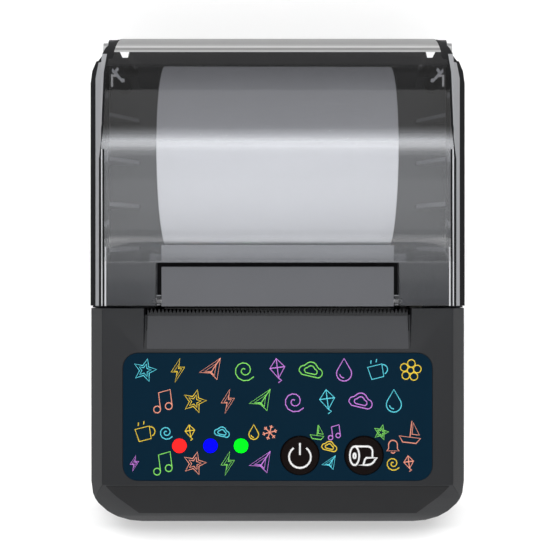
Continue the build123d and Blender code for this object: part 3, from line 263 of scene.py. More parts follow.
def rear_frame(finish, side, y, clear):
    """Rear of the cover: a dark guard behind the roll as painted shade, a pale strip with painted
    reflection stripes, white tabs, and black corners as painted shade.
    """
    guard_y, guard_blend, guard_share = 51.7, 0.6, 0.85
    strip_y, stripes_y, stripes_depth = 56.25, 56.0, 6.6
    reflection_stripes = ((0.0, 0.28), (0.09, 0.46), (0.13, 0.28), (0.174, 0.22), (0.22, 0.17), (0.265, 0.38),
             (0.318, 0.60), (0.37, 0.40), (0.43, 0.31), (0.515, 0.25), (1.0, 0.24))
    tab_y, tab_inner, tab_outer, tab_slant = 54.4, 36.2, 38.5, 0.55
    corner_y, corner_x = 54.0, 39.9
    # Painted shade: black laid over most of the clear cover behind the roll
    guard = finish.over(((y - guard_y) / guard_blend).at_least(0.0).at_most(guard_share), clear,
                        finish.black())
    # Painted reflection: grey stripes standing in for the reflections along the rounded rear of the cover
    painted_stripes = finish.graded((y - stripes_y) / stripes_depth, reflection_stripes)
    strip = finish.over(y > strip_y, guard, finish.opaque(painted_stripes, 0.4, 0.3))
    tab = side.within(tab_inner, (y - strip_y) * tab_slant + tab_outer) * y.within(tab_y, strip_y)
    tabs = finish.over(tab, strip, finish.opaque((0.92, 0.92, 0.93), 0.4, 0.3))
    # Painted shade: black corners where the rear of the dome's sides looks dark
    return finish.over((side > corner_x) * (y > corner_y), tabs, finish.black())


def side_frame(finish, side, y, z, clear):
    """Sides of the cover: a black line as painted shade of the wall seen edge-on, thin bright lines at the
    front as painted highlights, a pale band as the painted reflection of the shoulder, and a black border
    as painted shade.

    They are set in from the leaning side of the dome, and only lie on faces that look up."""
    foot_x, lean, steepest = 51.1, 0.18, 0.85
    # The painted reflection starts where the dome turns down, and widens twice more toward the rear
    turn_y, second_y, third_y, reflection_rear_y, reflection_step = 31.0, 38.0, 50.0, 55.6, 0.75
    dark_width, dark_front_more = 0.5, 0.85
    outer_line, inner_line, inner_line_rear_y = (-0.15, 0.15), (0.72, 1.1), 8.7
    border_y, border_slant, border_step = 51.5, 0.19, 1.6
    split = finish.add("ShaderNodeSeparateXYZ", None,
                       {0: finish.add("ShaderNodeTexCoord").outputs["Normal"]})
    upward = Value(finish, split.outputs["X"]).absolute() < steepest
    inset = foot_x - side - z * lean
    reflection_edge = (((y - turn_y) * 0.125).at_least(0.0).at_most(reflection_step)
                 + ((y - second_y) * 0.04).at_least(0.0) + ((y - third_y) * 0.1).at_least(0.0) - reflection_step)
    front_half = y < turn_y
    # Painted shade: the wall seen edge-on, drawn as a black line
    dark = (inset < reflection_edge + front_half * dark_front_more + dark_width) * upward
    # Painted highlights: thin bright lines along the edges
    bright = (inset.within(*outer_line) * front_half
              + inset.within(*inner_line) * (y < inner_line_rear_y)) * upward
    # Painted reflection: the pale band of the rounded shoulder
    shoulder_reflection = (inset < reflection_edge) * upward * (y < reflection_rear_y)
    # Painted shade: the black border toward the rear
    border = inset < ((y - border_y) * border_slant).at_least(0.0) - border_step
    lined = finish.over(dark, clear, finish.black())
    lined = finish.over(bright, lined, finish.opaque((0.52, 0.53, 0.55), 0.4, 0.3))
    with_reflection = finish.over(shoulder_reflection, lined, finish.opaque((0.30, 0.305, 0.32), 0.35, 0.4))
    return finish.over(border, with_reflection, finish.black())


def smoky_clear(name, front, rear, front_shadow, rear_shadow):
    """Clear smoke-tinted plastic, its tint deeper behind its crest as painted shade, with a painted sheen
    and a painted reflection band before the crest, in a frame of painted shade, highlights and
    reflections.

    Lamps shine through it to what is inside."""
    crest_y, crest_blend = 32.5, 3.5
    # Painted sheen: a pale veil over the front of the cover standing in for reflections, stronger just
    # before the roll, and a painted reflection band of the overhead lamps just before the crest
    painted_sheen_y, painted_sheen_depth = -10.0, 50.0
    painted_sheen_levels = ((0.0, 0.0), (0.29, 0.01), (0.31, 0.08), (0.38, 0.09), (0.41, 0.07), (0.60, 0.08),
                   (0.78, 0.08), (0.815, 0.11), (0.845, 0.25), (0.865, 0.27), (0.885, 0.15), (0.91, 0.04),
                   (0.93, 0.0))
    finish = Finish(name)
    x, y, z = finish.axes()
    side = x.absolute()
    # Painted shade: the tint and the light let through both turn darker behind the crest, so the rear half
    # of the roll reads as shaded
    behind = ((y - crest_y) / crest_blend).clamped()
    finish.set(Base_Color=finish.between(behind, front, rear), IOR=1.49, Transmission_Weight=1.0,
               Roughness=finish.ranged(finish.noise(0.4, 2.0), 0.05, 0.07))
    painted_sheen = finish.over(finish.graded((y - painted_sheen_y) / painted_sheen_depth, painted_sheen_levels), finish.shader.outputs[0],
                       finish.opaque((0.80, 0.82, 0.86), 0.8, 0.1))
    framed = side_frame(finish, side, y, z, rear_frame(finish, side, y, painted_sheen))
    through = finish.add("ShaderNodeBsdfTransparent", None,
                         {"Color": finish.between(behind, front_shadow, rear_shadow)})
    path = finish.add("ShaderNodeLightPath")
    surface = finish.over(path.outputs["Is Shadow Ray"], framed, through.outputs[0])
    finish.link(surface, finish.output.inputs["Surface"])
    return finish.material


def wound_paper(name, colour):
    """Thermal paper: smooth outside with faint bands, wound layers seen on the ends."""
    layer, end_depth = 0.42, 0.2
    finish = Finish(name)
    x, y, z = finish.axes()
    across = y - ROLL_Y
    up = z - ROLL_Z
    radius = (across * across + up * up).math("SQRT")
    layers = (radius * (2 * pi / layer)).math("SINE")
    uneven = finish.noise(0.9, 3.0, 0.5, (1.0, 0.25, 0.25))
    ends = x.absolute() > ROLL_HALF - end_depth
    rings = finish.ranged(layers, 0.4, 0.6) * 0.5 + uneven * 0.5
    face = finish.between(rings, shaded(colour, 0.62), colour)
    side = finish.between(finish.noise(0.12, 2.0, 0.5, (0.3, 1.0, 1.0)), shaded(colour, 0.94), colour)
    finish.set(Base_Color=finish.between(ends, side, face), Roughness=0.65, Specular_IOR_Level=0.12)
    finish.relief(finish.noise(2.0, 4.0, 0.6), 0.01)
    return finish.material


def lit_lens(name, colour, strength):
    """Diffusing lens with its lamp on, its glow a little uneven."""
    finish = Finish(name)
    glow = finish.noise(0.8, 1.0)
    finish.set(Base_Color=colour, Roughness=0.25, Emission_Strength=strength, Specular_IOR_Level=0.1,
               Emission_Color=finish.between(glow, shaded(colour, 0.92), colour))
    finish.relief(finish.noise(2.0, 1.0), 0.004)
    return finish.material


def printed_film(name, colour):
    """Dark printed film with a fine satin texture."""
    finish = Finish(name)
    fine = finish.noise(7.0, 2.0, 0.6)
    tone = finish.between(finish.noise(0.08, 2.0), shaded(colour, 0.92), shaded(colour, 1.08))
    finish.set(Base_Color=tone, Roughness=finish.ranged(fine, 0.40, 0.52), Specular_IOR_Level=0.04)
    finish.relief(fine, 0.006)
    return finish.material


def printed_ink(name, colour):
    """Raised ink with a faint grain."""
    finish = Finish(name)
    fine = finish.noise(9.0, 2.0)
    finish.set(Base_Color=finish.between(fine, shaded(colour, 0.93), colour),
               Roughness=finish.ranged(fine, 0.42, 0.55))
    finish.relief(fine, 0.003)
    return finish.material


def solder_mask(name, colour):
    """Circuit board: solder mask over fine copper runs."""
    finish = Finish(name)
    runs = finish.add("ShaderNodeTexBrick", {"offset": 0.37, "squash": 1.0},
                      {"Vector": finish.place(), "Scale": 180.0, "Mortar Size": 0.035,
                       "Color1": (0, 0, 0), "Color2": (0, 0, 0), "Mortar": (1, 1, 1)})
    mask = finish.add("ShaderNodeRGBToBW", None, {0: runs.outputs["Color"]})
    copper = Value(finish, mask.outputs[0])
    finish.set(Base_Color=finish.between(copper, colour, shaded(colour, 1.9)),
               Roughness=finish.ranged(finish.noise(1.5), 0.3, 0.42))
    finish.relief(copper, 0.03)
    return finish.material


def shrink_film(name, colour):
    """Shrunk film round the battery, slightly wavy and glossy."""
    finish = Finish(name)
    wave = finish.noise(0.22, 2.0, 0.5, (1.0, 1.0, 0.4))
    finish.set(Base_Color=finish.between(wave, shaded(colour, 0.85), colour),
               Roughness=finish.ranged(wave, 0.16, 0.3))
    finish.relief(wave, 0.25)
    return finish.material


def ground_rubber(name, colour, rough=0.75):
    """Rubber with a ground, gritty face."""
    finish = Finish(name)
    grit = finish.noise(7.0, 4.0, 0.7)
    finish.set(Base_Color=finish.between(grit, shaded(colour, 0.8), shaded(colour, 1.25)),
               Roughness=finish.ranged(grit, rough - 0.08, rough + 0.08))
    finish.relief(grit, 0.02)
    return finish.material


plastic = moulded_plastic("housing_plastic", srgb(37, 38, 40), 0.4, specular=0.3)
tray_plastic = moulded_plastic("tray_plastic", srgb(50, 51, 53), 0.5)
bracket_plastic = moulded_plastic("bracket_plastic", srgb(92, 94, 98), 0.45, specular=0.3)
lever_plastic = moulded_plastic("lever_plastic", srgb(92, 93, 97), 0.42, 0.012, specular=0.3)
key_plastic = moulded_plastic("key_plastic", srgb(14, 7, 6), 0.45, 0.006, specular=0.1)
switch_plastic = moulded_plastic("switch_plastic", srgb(45, 45, 46))
gear_nylon = moulded_plastic("gear_nylon", srgb(214, 212, 204), 0.42, 0.005)
bush_plastic = moulded_plastic("bush_plastic", srgb(52, 50, 48), 0.35)
core_plastic = moulded_plastic("core_plastic", srgb(120, 118, 114), 0.5)
clear_smoke = smoky_clear("smoky_clear", (0.85, 0.85, 0.86), (0.50, 0.50, 0.51),
                          (0.95, 0.95, 0.95), (0.70, 0.70, 0.71))
steel = brushed_metal("steel", (0.62, 0.62, 0.63))
chassis_plastic = moulded_plastic("chassis_plastic", srgb(30, 30, 31), specular=0.3)
black_steel = brushed_metal("black_steel", (0.05, 0.05, 0.052), 0.4)
aluminium = brushed_metal("black_aluminium", (0.06, 0.06, 0.062), 0.4)
# Painted shade: the thermal head's ceramic is made near black, so the slot under the tear teeth shows dark
shaded_ceramic = moulded_plastic("ceramic_painted_dark", srgb(34, 34, 35), 0.2, 0.002, 0.05)
board_mask = solder_mask("solder_mask", srgb(22, 84, 48))
battery_film = shrink_film("battery_film", srgb(34, 62, 112))
feet_rubber = ground_rubber("feet_rubber", srgb(30, 30, 31))
platen_coat = ground_rubber("platen_coat", srgb(38, 38, 40), 0.6)
paper = wound_paper("wound_paper", srgb(231, 233, 238))
film = printed_film("panel_film", srgb(6, 32, 48))
LAMPS = {"red_lens": srgb(255, 30, 30), "blue_lens": srgb(0, 0, 255), "green_lens": srgb(0, 255, 24)}

NODE_FINISHES = {
    "tear_bar": plastic, "rubber_feet": feet_rubber, "panel_film": film,
    "control_board": board_mask, "port_board": board_mask, "tact_switches": switch_plastic,
    "battery_pack": battery_film, "print_chassis": chassis_plastic, "feed_motor": steel,
    "port_socket": steel, "head_springs": steel, "case_screws": steel, "board_screws": steel,
    "tray_screws": black_steel, "chassis_screws": steel, "left_hinge_pin": steel,
    "right_hinge_pin": steel, "lever_spring": steel, "lever_pin": steel, "platen_shaft": steel,
    "motor_shaft": steel, "left_platen_bush": bush_plastic, "right_platen_bush": bush_plastic,
    "platen_rubber": platen_coat, "platen_gear": gear_nylon, "idler_gear": gear_nylon,
    "motor_pinion": gear_nylon, "roll_core": core_plastic, "head_board": shaded_ceramic,
    "head_heat_sink": aluminium,
}


def coat(piece, material):
    """Gives a piece one material in place of those it has."""
    piece.data.materials.clear()
    piece.data.materials.append(material)


# Working on meshes
def only(piece):
    """Selects one piece and makes it active, for the operators that follow."""
    bpy.ops.object.select_all(action="DESELECT")
    bpy.context.view_layer.objects.active = piece
    piece.select_set(True)


def settle(piece, name, body, material):
    """Puts a finished piece's place into its mesh, gives it its material and its body."""
    only(piece)
    if piece.type != "MESH":
        bpy.ops.object.convert(target="MESH")
    piece = bpy.context.view_layer.objects.active
    bpy.ops.object.transform_apply(location=True, rotation=True, scale=True)
    piece.name = name
    coat(piece, material)
    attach(piece, body)


def dressed_copy(node, name, body, material, edge):
    """Copy of a node's mesh with its seams merged and its sharp edges rounded by edge millimetres."""
    seam, flat_angle, sharp_angle, smooth_angle = 0.001, 0.4, 32, 40
    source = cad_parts[node]
    piece = source.copy()
    piece.data = source.data.copy()
    piece.parent = None
    for key in list(piece.keys()):
        del piece[key]
    piece.name = name
    scene.collection.objects.link(piece)
    only(piece)
    bpy.ops.object.mode_set(mode="EDIT")
    bpy.ops.mesh.select_all(action="SELECT")
    bpy.ops.mesh.remove_doubles(threshold=seam * MM)
    bpy.ops.mesh.dissolve_limited(angle_limit=radians(flat_angle))
    bpy.ops.object.mode_set(mode="OBJECT")
    bevel = piece.modifiers.new("edges", "BEVEL")
    bevel.width = edge * MM
    bevel.segments = 2
    bevel.limit_method = "ANGLE"
    bevel.angle_limit = radians(sharp_angle)
    bevel.harden_normals = False
    bevel.use_clamp_overlap = True
    bpy.ops.object.modifier_apply(modifier="edges")
    bpy.ops.object.shade_smooth_by_angle(angle=radians(smooth_angle))
    # Large faces keep their own normals, so that only the rounded edges shade as round.
    piece.modifiers.new("normals", "WEIGHTED_NORMAL").keep_sharp = True
    bpy.ops.object.modifier_apply(modifier="normals")
    coat(piece, material)
    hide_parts(node)
    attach(piece, body)
    return piece


# Printed lines, drawn flat in millimetres and laid on a surface
def around(x, y, radius, angle):
    """Point on a circle, at an angle in radians."""
    return (x + radius * cos(angle), y + radius * sin(angle))


def circle_points(x, y, radius):
    count = 20
    return [around(x, y, radius, 2 * pi * i / count) for i in range(count)]


def arc_points(x, y, radius, start, end):
    """Points of an arc between two angles in degrees, about 18 degrees apart and at least five."""
    steps = max(4, int(abs(end - start) / 18))
    return [around(x, y, radius, radians(start + (end - start) * i / steps)) for i in range(steps + 1)]


def star_points(x, y, outer, inner, tips):
    """Points of a star, in turn on its outer and its inner circle."""
    return [around(x, y, (outer, inner)[i % 2], pi / 2 + pi * i / tips) for i in range(2 * tips)]


def closed(points):
    return (points, True)


def opened(points):
    return (points, False)


def circle(x, y, radius):
    return closed(circle_points(x, y, radius))


def arc(x, y, radius, start, end):
    return opened(arc_points(x, y, radius, start, end))


def motif(kind):
    """Strokes of one small motif, each a list of points and whether it closes."""
    if kind == "star":
        return [closed(star_points(0, 0, 3.0, 1.3, 5))]
    if kind == "moon":
        return [closed(arc_points(0, 0, 2.8, 60, 300) + arc_points(1.2, 0, 2.2, 270, 90))]
    if kind == "sun":
        rays = [opened([around(0, 0, 2.1, pi * k / 4), around(0, 0, 3.0, pi * k / 4)]) for k in range(8)]
        return [circle(0, 0, 1.4)] + rays
    if kind == "cloud":
        return [closed(arc_points(-1.7, -0.4, 1.2, 200, 100) + arc_points(-0.1, 0.5, 1.6, 150, 35)
                       + arc_points(1.8, -0.3, 1.2, 90, -70) + [(-2.0, -1.5)])]
    if kind == "drop":
        return [closed([(0, 3.0)] + arc_points(0, -0.8, 1.9, 25, -205)), arc(0, -0.8, 1.1, 190, 270)]
    if kind == "gem":
        return [closed([(-2.8, 1.0), (-1.5, 2.4), (1.5, 2.4), (2.8, 1.0), (0, -2.8)]),
                opened([(-2.8, 1.0), (2.8, 1.0)]), opened([(-1.1, 1.0), (0, -2.6), (1.1, 1.0)])]
    if kind == "spiral":
        return [opened([around(0, 0, 0.13 * k, k * 0.55) for k in range(2, 23)])]
    if kind == "snow":
        arms = []
        for angle in (pi * k / 3 for k in range(6)):
            fork = around(0, 0, 2.0, angle)
            arms.append(opened([(0, 0), around(0, 0, 2.9, angle)]))
            arms.append(opened([around(*fork, 0.8, angle + 1.0), around(0, 0, 1.9, angle),
                                around(*fork, 0.8, angle - 1.0)]))
        return arms
    if kind == "flower":
        petals = [circle(*around(0, 0, 1.75, 2 * pi * k / 5 + pi / 2), 0.95) for k in range(5)]
        return [circle(0, 0, 0.8)] + petals
    if kind == "kite":
        return [closed([(0, 3.0), (1.9, 0.7), (0, -2.0), (-1.9, 0.7)]), opened([(0, 3.0), (0, -2.0)]),
                opened([(-1.9, 0.7), (1.9, 0.7)]), opened([(0, -2.0), (0.7, -2.6), (-0.2, -3.1)])]
    if kind == "bell":
        return [closed([(-2.4, -1.6), (-1.7, -0.8)] + arc_points(0, 0.8, 1.7, 180, 0)
                       + [(1.7, -0.8), (2.4, -1.6)]), arc(0, -1.7, 0.8, 200, 340)]
    if kind == "note":
        return [circle(-1.3, -1.9, 0.85), circle(1.7, -1.4, 0.85),
                opened([(-0.45, -1.9), (-0.45, 2.2), (2.55, 2.7), (2.55, -1.4)])]
    if kind == "bolt":
        return [closed([(0.5, 3.0), (-1.7, -0.4), (-0.2, -0.4), (-0.7, -3.0), (1.7, 0.8), (0.2, 0.8)])]
    if kind == "plane":
        return [closed([(-3.0, 0.2), (3.0, 2.4), (0.9, -2.6), (-0.3, -0.6)]),
                opened([(3.0, 2.4), (-0.3, -0.6)])]
    if kind == "cup":
        return [closed([(-2.2, 1.3), (1.5, 1.3), (1.2, -1.9), (-1.9, -1.9)]), arc(1.4, -0.1, 1.2, -80, 80),
                opened([(-1.2, 2.0), (-0.9, 2.8)]), opened([(0.2, 2.0), (0.5, 2.8)])]
    if kind == "boat":
        return [closed([(-2.7, -1.2), (2.7, -1.2), (1.7, -2.6), (-1.7, -2.6)]),
                opened([(0, -1.2), (0, 2.9)]), closed([(0.4, 2.5), (2.3, -0.4), (0.4, -0.4)])]
    # Leaf
    return [closed(arc_points(-1.4, -1.4, 3.6, 65, 5) + arc_points(1.4, 1.4, 3.6, 245, 185)),
            opened([(-2.4, -2.4), (1.3, 1.3)])]


def lay_lines(strokes, name, height, body, material, width=LINE_WIDTH):
    """Printed lines as a flattened tube along each stroke, half of it over the surface at a height."""
    curve = bpy.data.curves.new(name, "CURVE")
    curve.dimensions = "3D"
    curve.bevel_depth = width / 2 * MM
    curve.bevel_resolution = 0
    curve.use_fill_caps = True
    for points, cyclic in strokes:
        spline = curve.splines.new("POLY")
        spline.points.add(len(points) - 1)
        for point, (x, y) in zip(spline.points, points):
            point.co = (x * MM, y * MM, 0.0, 1.0)
        spline.use_cyclic_u = cyclic
    lines = bpy.data.objects.new(name, curve)
    scene.collection.objects.link(lines)
    only(lines)
    bpy.ops.object.convert(target="MESH")
    lines = bpy.context.view_layer.objects.active
    lines.scale = (1.0, 1.0, 2 * LINE_HEIGHT / width)
    lines.location = (0.0, 0.0, height * MM)
    settle(lines, name, body, material)


INKS = {"cyan": srgb(90, 212, 230), "green": srgb(132, 226, 100), "yellow": srgb(238, 205, 60),
        "purple": srgb(202, 128, 226), "salmon": srgb(240, 155, 132)}
MOTIFS = ("star", "cup", "snow", "kite", "moon", "bolt", "flower", "boat", "cloud", "gem", "plane",
          "sun", "note", "drop", "bell", "spiral", "leaf")
# Motifs drawn a second time, smaller, inside themselves
ECHOED, ECHO = ("star", "moon", "cloud", "bolt", "leaf", "plane"), 0.55


def motif_places():
    """Places and reach of the motifs: four staggered rows of large ones, then small ones in the gaps."""
    top_margin, row_pitch, column_pitch = 4.3, 7.8, 8.35
    key_room, lens_room, motif_room = BUTTON_RADIUS + 0.6, 2.3, 0.2
    taken = [(POWER_X, BUTTON_Y, key_room), (FEED_X, BUTTON_Y, key_room)]
    taken += [(x, LENS_Y, lens_room) for x in LENS_X]
    rows = [FILM_Y + FILM_DEPTH / 2 - top_margin - row * row_pitch for row in range(4)]
    tries = []
    for row, y in enumerate(rows):
        first, count = ((-4, 9), (-3.5, 8))[row % 2]
        tries += [((first + k) * column_pitch, y, LARGE) for k in range(count)]
    # Small ones are tried at every millimetre along four lines beside the keys and lamps
    for y in (rows[2], rows[3], rows[2] - 3.6, rows[3] - 0.6):
        tries += [(x, y, SMALL) for x in range(-36, 37)]
    places = []
    for x, y, reach in tries:
        if all((x - hx) ** 2 + (y - hy) ** 2 >= (reach + near) ** 2 for hx, hy, near in taken):
            taken.append((x, y, reach + motif_room))
            places.append((x, y, reach))
    return places


def print_panel():
    """Line motifs over the film, in turn through the kinds and inks and turned a little each."""
    strokes = {ink: [] for ink in INKS}
    for count, (x, y, reach) in enumerate(motif_places()):
        kind = MOTIFS[(count * 5 + count // 9) % len(MOTIFS)]
        ink = list(INKS)[(count * 2 + count // 5) % len(INKS)]
        turn = radians(((count * 37) % 5 - 2) * 7)
        scale = reach / LARGE
        drawn = motif(kind)
        if kind in ECHOED:
            drawn.append(closed([(ECHO * px, ECHO * py) for px, py in drawn[0][0]]))
        for points, cyclic in drawn:
            turned = [(x + scale * (px * cos(turn) - py * sin(turn)),
                       y + scale * (px * sin(turn) + py * cos(turn))) for px, py in points]
            strokes[ink].append((turned, cyclic))
    for ink, colour in INKS.items():
        lay_lines(strokes[ink], f"motifs_{ink}", DECK_Z, "base", printed_ink(f"ink_{ink}", colour))


def print_keys():
    """White symbols on the two keys: a power sign, and a roll with its loose leaf."""
    white = printed_ink("ink_white", srgb(244, 244, 244))
    power = [arc(0, -0.3, 2.75, 125, 415), opened([(0, 0.2), (0, 3.2)])]
    roll_x, roll_radius, squeeze = -2.4, 2.35, 0.5
    ends = [closed([(roll_x + x * squeeze, y) for x, y in circle_points(0.0, 0.0, radius)])
            for radius in (roll_radius, 0.6)]
    top = [(roll_x, roll_radius), (0.9, roll_radius)] + arc_points(0.9, 1.15, 1.2, 90, 0) + [(2.1, -0.4)]
    leaf = (arc_points(-2.2, 0.0, roll_radius, -85, -88) + [(0.8, -2.3)]
            + arc_points(0.8, -0.2, 2.1, -90, -20) + [(3.3, -0.5), (0.6, -0.5), (0.2, -0.9), (-0.2, -2.3)])
    feed = ends + [opened(top), opened(leaf)]
    for strokes, x, name, body in ((power, POWER_X, "power_symbol", "power_key"),
                                   (feed, FEED_X, "feed_symbol", "feed_key")):
        moved = [([(x + px, BUTTON_Y + py) for px, py in points], cyclic) for points, cyclic in strokes]
        lay_lines(moved, name, BUTTON_TOP, body, white, SYMBOL_WIDTH)


def plate(name, outline, body, material, thickness=0.1):
    """Thin plate over an outline of (x, y, z) points in millimetres, thickened upwards."""
    bpy.ops.object.select_all(action="DESELECT")
    bpy.ops.mesh.primitive_plane_add(size=2.0)
    piece = bpy.context.view_layer.objects.active
    mesh = bpy.data.meshes.new(name)
    mesh.from_pydata([Vector(point) * MM for point in outline], [], [list(range(len(outline)))])
    piece.data = mesh
    solid = piece.modifiers.new("thickness", "SOLIDIFY")
    solid.thickness = thickness * MM
    solid.offset = 1.0
    bpy.ops.object.modifier_apply(modifier="thickness")
    settle(piece, name, body, material)


def rectangle(low_x, high_x, front, rear):
    """Corners of a rectangle, counterclockwise seen from above."""
    return [(low_x, front), (high_x, front), (high_x, rear), (low_x, rear)]


def ramp_z(y):
    return DECK_Z - (y - RAMP_TOP_Y) * RAMP_FALL


def slope_z(y):
    return DECK_Z + (y - SLOPE_TOP_Y) * SLOPE_FALL


def dress_slot():
    """Lighter face of the ramp as painted light, a black sheet in the groove round the lever as painted
    shade, a grey lip before the roll standing for the paper web in painted shade, and painted highlights
    along the lug edges.
    """
    ramp_half, ramp_front, ramp_rear = 32.9, -16.7, -8.5
    groove_inner, groove_outer, groove_z = 29.15, 30.35, 37.34
    arm_front, groove_front, groove_rear = -3.4, 3.96, 4.95
    lip_half, lip_front, lip_rear, lip_z = 29.4, 5.3, 9.9, 36.24
    lug_inner, lug_outer, lug_z, line_depth = 29.4, 30.4, 37.36, 0.25
    lug_lines = (("rear", -3.45), ("front", -5.75))
    # Painted light: a lighter copy of the housing plastic on the ramp, which faces the rear lamp
    face = moulded_plastic("ramp_lit_plastic", srgb(62, 63, 66), 0.45, specular=0.3)
    outline = rectangle(-ramp_half, ramp_half, ramp_front, ramp_rear)
    plate("ramp_face", [(x, y, ramp_z(y) + OVER) for x, y in outline], "base", face, FACING)
    # Painted shade: a black sheet laid in the gap round the lever
    groove_shade = moulded_plastic("groove_shade_black", srgb(14, 14, 15), 0.7, specular=0.05)
    outline = [(-groove_outer, arm_front), (-groove_inner, arm_front), (-groove_inner, groove_front),
               (groove_inner, groove_front), (groove_inner, arm_front), (groove_outer, arm_front),
               (groove_outer, groove_rear), (-groove_outer, groove_rear)]
    plate("groove_shade_sheet", [(x, y, groove_z) for x, y in outline], "cover", groove_shade)
    # Painted light and shade: the grey lip stands for the paper web in shade before the roll, and the thin
    # lines on the lugs are painted highlights along their edges
    pale = moulded_plastic("shaded_paper_and_highlight_grey", srgb(148, 150, 154), 0.5, specular=0.2)
    outline = rectangle(-lip_half, lip_half, lip_front, lip_rear)
    plate("paper_lip", [(x, y, lip_z) for x, y in outline], "cover", pale)
    for name, side in SIDES:
        low, high = sorted((side * lug_inner, side * lug_outer))
        for label, y in lug_lines:
            outline = rectangle(low, high, y, y + line_depth)
            plate(f"lug_line_{name}_{label}", [(x, y, lug_z) for x, y in outline], "cover", pale)


def trim_posts(deck):
    """Brings the tops of the two front screw posts flush with the slope."""
    inner, outer, front, rear = 30.0, 35.0, -54.0, -52.6
    for vertex in deck.data.vertices:
        x, y, z = vertex.co / MM
        if inner < abs(x) < outer and front < y < rear and z > slope_z(y):
            vertex.co.z = slope_z(y) * MM


def dress_slope():
    """Darker copy of the housing plastic over the front slope, as painted shade, following the rounded
    corners of the case.
    """
    face = moulded_plastic("slope_shaded_plastic", srgb(20, 21, 23), 0.5, specular=0.2)
    right = [(35.8, -59.6), (38.6, -56.8), (40.6, -54.8), (42.2, -52.8), (43.2, -51.2)]
    outline = right + [(-x, y) for x, y in reversed(right)]
    plate("slope_face", [(x, y, slope_z(y) + OVER) for x, y in outline], "base", face, FACING)


def dress_hinges():
    """Bright link and angled clip beside each hinge ear, seen through the cover."""
    link = [(41.2, 53.0), (40.6, 52.4), (39.9, 53.2), (39.5, 52.7), (40.0, 52.0), (38.9, 50.7),
            (38.2, 50.6), (38.1, 49.9), (38.8, 49.7), (39.2, 50.2), (40.6, 51.5), (41.3, 52.2)]
    clip = [(41.45, 51.5), (40.1, 51.5), (40.1, 51.0), (40.95, 51.0), (40.95, 48.6), (41.45, 48.6)]
    kinds = (("link", link, 40.0, moulded_plastic("link_plastic", srgb(226, 228, 232), 0.4, 0.004)),
             ("clip", clip, 40.3, moulded_plastic("clip_plastic", srgb(246, 246, 246), 0.4, 0.004, 0.03)))
    for name, side in SIDES:
        for label, outline, z, material in kinds:
            points = [(side * x, y, z) for x, y in outline][::-side]
            plate(f"hinge_{label}_{name}", points, "base", material, 0.15)


def dress_ribs():
    """Paler caps on the sloping ribs beside the roll, a painted highlight where their tops face the light.
    """
    low_x, low_z, high_x, high_z, half_depth = 37.3, 20.75, 44.9, 32.75, 0.5
    rib_highlight = moulded_plastic("rib_highlight_paint", srgb(128, 130, 134), 0.5, specular=0.2)
    for number, y in enumerate((8.6, 20.4, 32.1, 43.5)):
        for name, side in SIDES:
            height = {side * low_x: low_z, side * high_x: high_z}
            outline = rectangle(*sorted(height), y - half_depth, y + half_depth)
            plate(f"rib_top_highlight_{name}_{number}", [(x, y, height[x]) for x, y in outline], "base", rib_highlight, 0.12)


def dress_parts():
    """Finishes on the parts, with rounded copies of the large moulded ones."""
    for node, material in NODE_FINISHES.items():
        coat(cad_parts[node], material)
    for node, colour in LAMPS.items():
        coat(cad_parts[node], lit_lens(node + "_lamp", colour, 0.75))
    dressed_copy("bottom_housing", "housing_moulding", "base", plastic, 0.2)
    trim_posts(dressed_copy("front_deck", "deck_moulding", "base", plastic, 0.25))
    dressed_copy("cover_shell", "clear_cover", "cover", clear_smoke, 0.25)
    dressed_copy("release_lever", "lever_flap", "lever", lever_plastic, 0.3)
    dressed_copy("power_button", "power_cap", "power_key", key_plastic, 0.1)
    dressed_copy("feed_button", "feed_cap", "feed_key", key_plastic, 0.1)
    dressed_copy("paper_tray", "tray_moulding", "base", tray_plastic, 0.15)
    dressed_copy("platen_bracket", "bracket_moulding", "cover", bracket_plastic, 0.15)
    dressed_copy("paper_roll", "paper_coil", "roll", paper, 0.15)


# Room: pale floor, soft lamps
def area_lamp(name, place, aim, size, power, glossy=True, diffuse=True):
    """Rectangular lamp, its place, aim and size in metres. It lights nothing along refracted rays."""
    data = bpy.data.lights.new(name, "AREA")
    data.shape = "RECTANGLE"
    data.size, data.size_y = size
    data.energy = power
    lamp = bpy.data.objects.new(name, data)
    scene.collection.objects.link(lamp)
    lamp.location = place
    direction = Vector(aim) - Vector(place)
    lamp.rotation_euler = direction.to_track_quat("-Z", "Y").to_euler()
    lamp.visible_glossy = glossy
    lamp.visible_diffuse = diffuse
    lamp.visible_camera = False
    lamp.visible_transmission = False


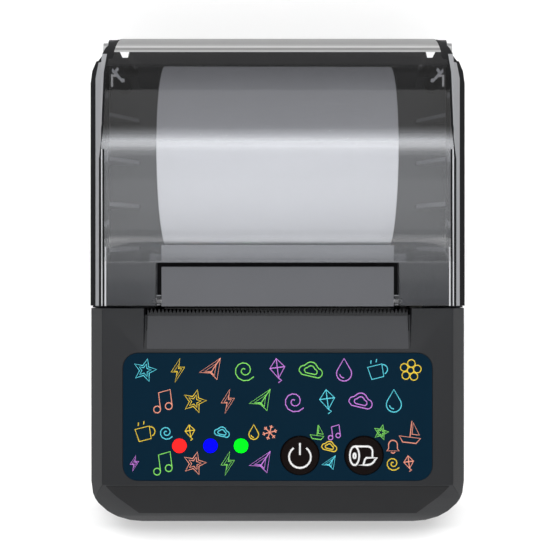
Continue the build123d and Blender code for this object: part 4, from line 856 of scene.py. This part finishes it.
def pale_floor():
    """Pale floor, seen a little brighter than it is lit, least of all in the shadow at the front."""
    plain_lift, far_lift = (0.2, 0.2, 0.2), (1.0, 1.0, 1.0)
    front_y, front_depth = -100.0, 50.0
    beside_x, beside_fade, away_radius, away_fade = 50.0, 30.0, 150.0, 300.0
    lifts = ((0.0, 0.08), (0.36, 0.2), (0.49, 0.36), (0.585, 0.06), (0.68, 0.04), (0.8, 0.2))
    finish = Finish("pale_floor")
    finish.set(Base_Color=(0.86, 0.86, 0.86), Roughness=0.9)
    path = finish.add("ShaderNodeLightPath")
    seen = (Value(finish, path.outputs["Is Camera Ray"]) + Value(finish, path.outputs["Is Glossy Ray"])
            + Value(finish, path.outputs["Is Transmission Ray"])).at_most(1.0)
    x, y = finish.axes("XY")
    # Painted light and shade: the lift dips in the shadow before the printer to deepen it, and rises just
    # past it so the shadow's edge fades quickly
    before = finish.graded((y - front_y) / front_depth, lifts)
    beside = ((x.absolute() - beside_x) / beside_fade).clamped()
    away = (((x * x + y * y).math("SQRT") - away_radius) / away_fade).clamped()
    lift = finish.between(away, finish.between(beside, before, plain_lift), far_lift)
    shown = finish.between(seen, (0.0, 0.0, 0.0), lift)
    glow = finish.add("ShaderNodeEmission", None, {"Color": shown, "Strength": 1.0})
    both = finish.add("ShaderNodeAddShader", None, {0: finish.shader.outputs[0], 1: glow.outputs[0]})
    finish.link(both.outputs[0], finish.output.inputs["Surface"])
    return finish.material


def make_world():
    """Even pale light from all round, which the camera itself sees as white."""
    world = bpy.data.worlds.new("room")
    scene.world = world
    world.use_nodes = True
    nodes, links = world.node_tree.nodes, world.node_tree.links
    light, view = nodes["Background"], nodes.new("ShaderNodeBackground")
    mix = nodes.new("ShaderNodeMixShader")
    for back, strength in ((light, 0.3), (view, 1.0)):
        back.inputs["Color"].default_value = (1.0, 1.0, 1.0, 1.0)
        back.inputs["Strength"].default_value = strength
    links.new(nodes.new("ShaderNodeLightPath").outputs["Is Camera Ray"], mix.inputs[0])
    links.new(light.outputs[0], mix.inputs[1])
    links.new(view.outputs[0], mix.inputs[2])
    links.new(mix.outputs[0], nodes["World Output"].inputs["Surface"])


def make_room():
    bpy.ops.object.select_all(action="DESELECT")
    bpy.ops.mesh.primitive_plane_add(size=3.0, location=(0, 0, 0))
    floor = bpy.context.view_layer.objects.active
    floor.name = "floor"
    coat(floor, pale_floor())
    make_world()
    aim = (0, 0.02, 0.05)
    area_lamp("rear_key", (0, 0.37, 0.93), (0, 0, 0), (0.25, 0.25), 5.3, glossy=False)
    area_lamp("rear_softbox", (0, 0.66, 0.78), aim, (1.0, 0.73), 1.9)
    area_lamp("front_softbox", (0, -0.74, 0.62), aim, (1.0, 1.0), 1.1)
    area_lamp("front_high", (0, -0.42, 0.74), aim, (0.3, 0.3), 1.0, glossy=False)
    area_lamp("front_fill", (0, -0.62, 0.22), aim, (0.3, 0.3), 1.5, glossy=False)
    # Nested strips, so that their reflection in the cover fades at both sides
    strip_y, strip_width = 0.17, 0.9
    for name, depth, power, z in (("wide", 0.34, 0.6, 0.95), ("middle", 0.193, 0.7, 0.96),
                                  ("narrow", 0.112, 0.5, 0.97)):
        area_lamp(f"overhead_strip_{name}", (0, strip_y, z), (0, strip_y, 0), (strip_width, depth), power,
                  diffuse=False)


make_camera()
make_room()
dress_parts()
print_panel()
print_keys()
dress_slot()
dress_slope()
dress_ribs()
dress_hinges()
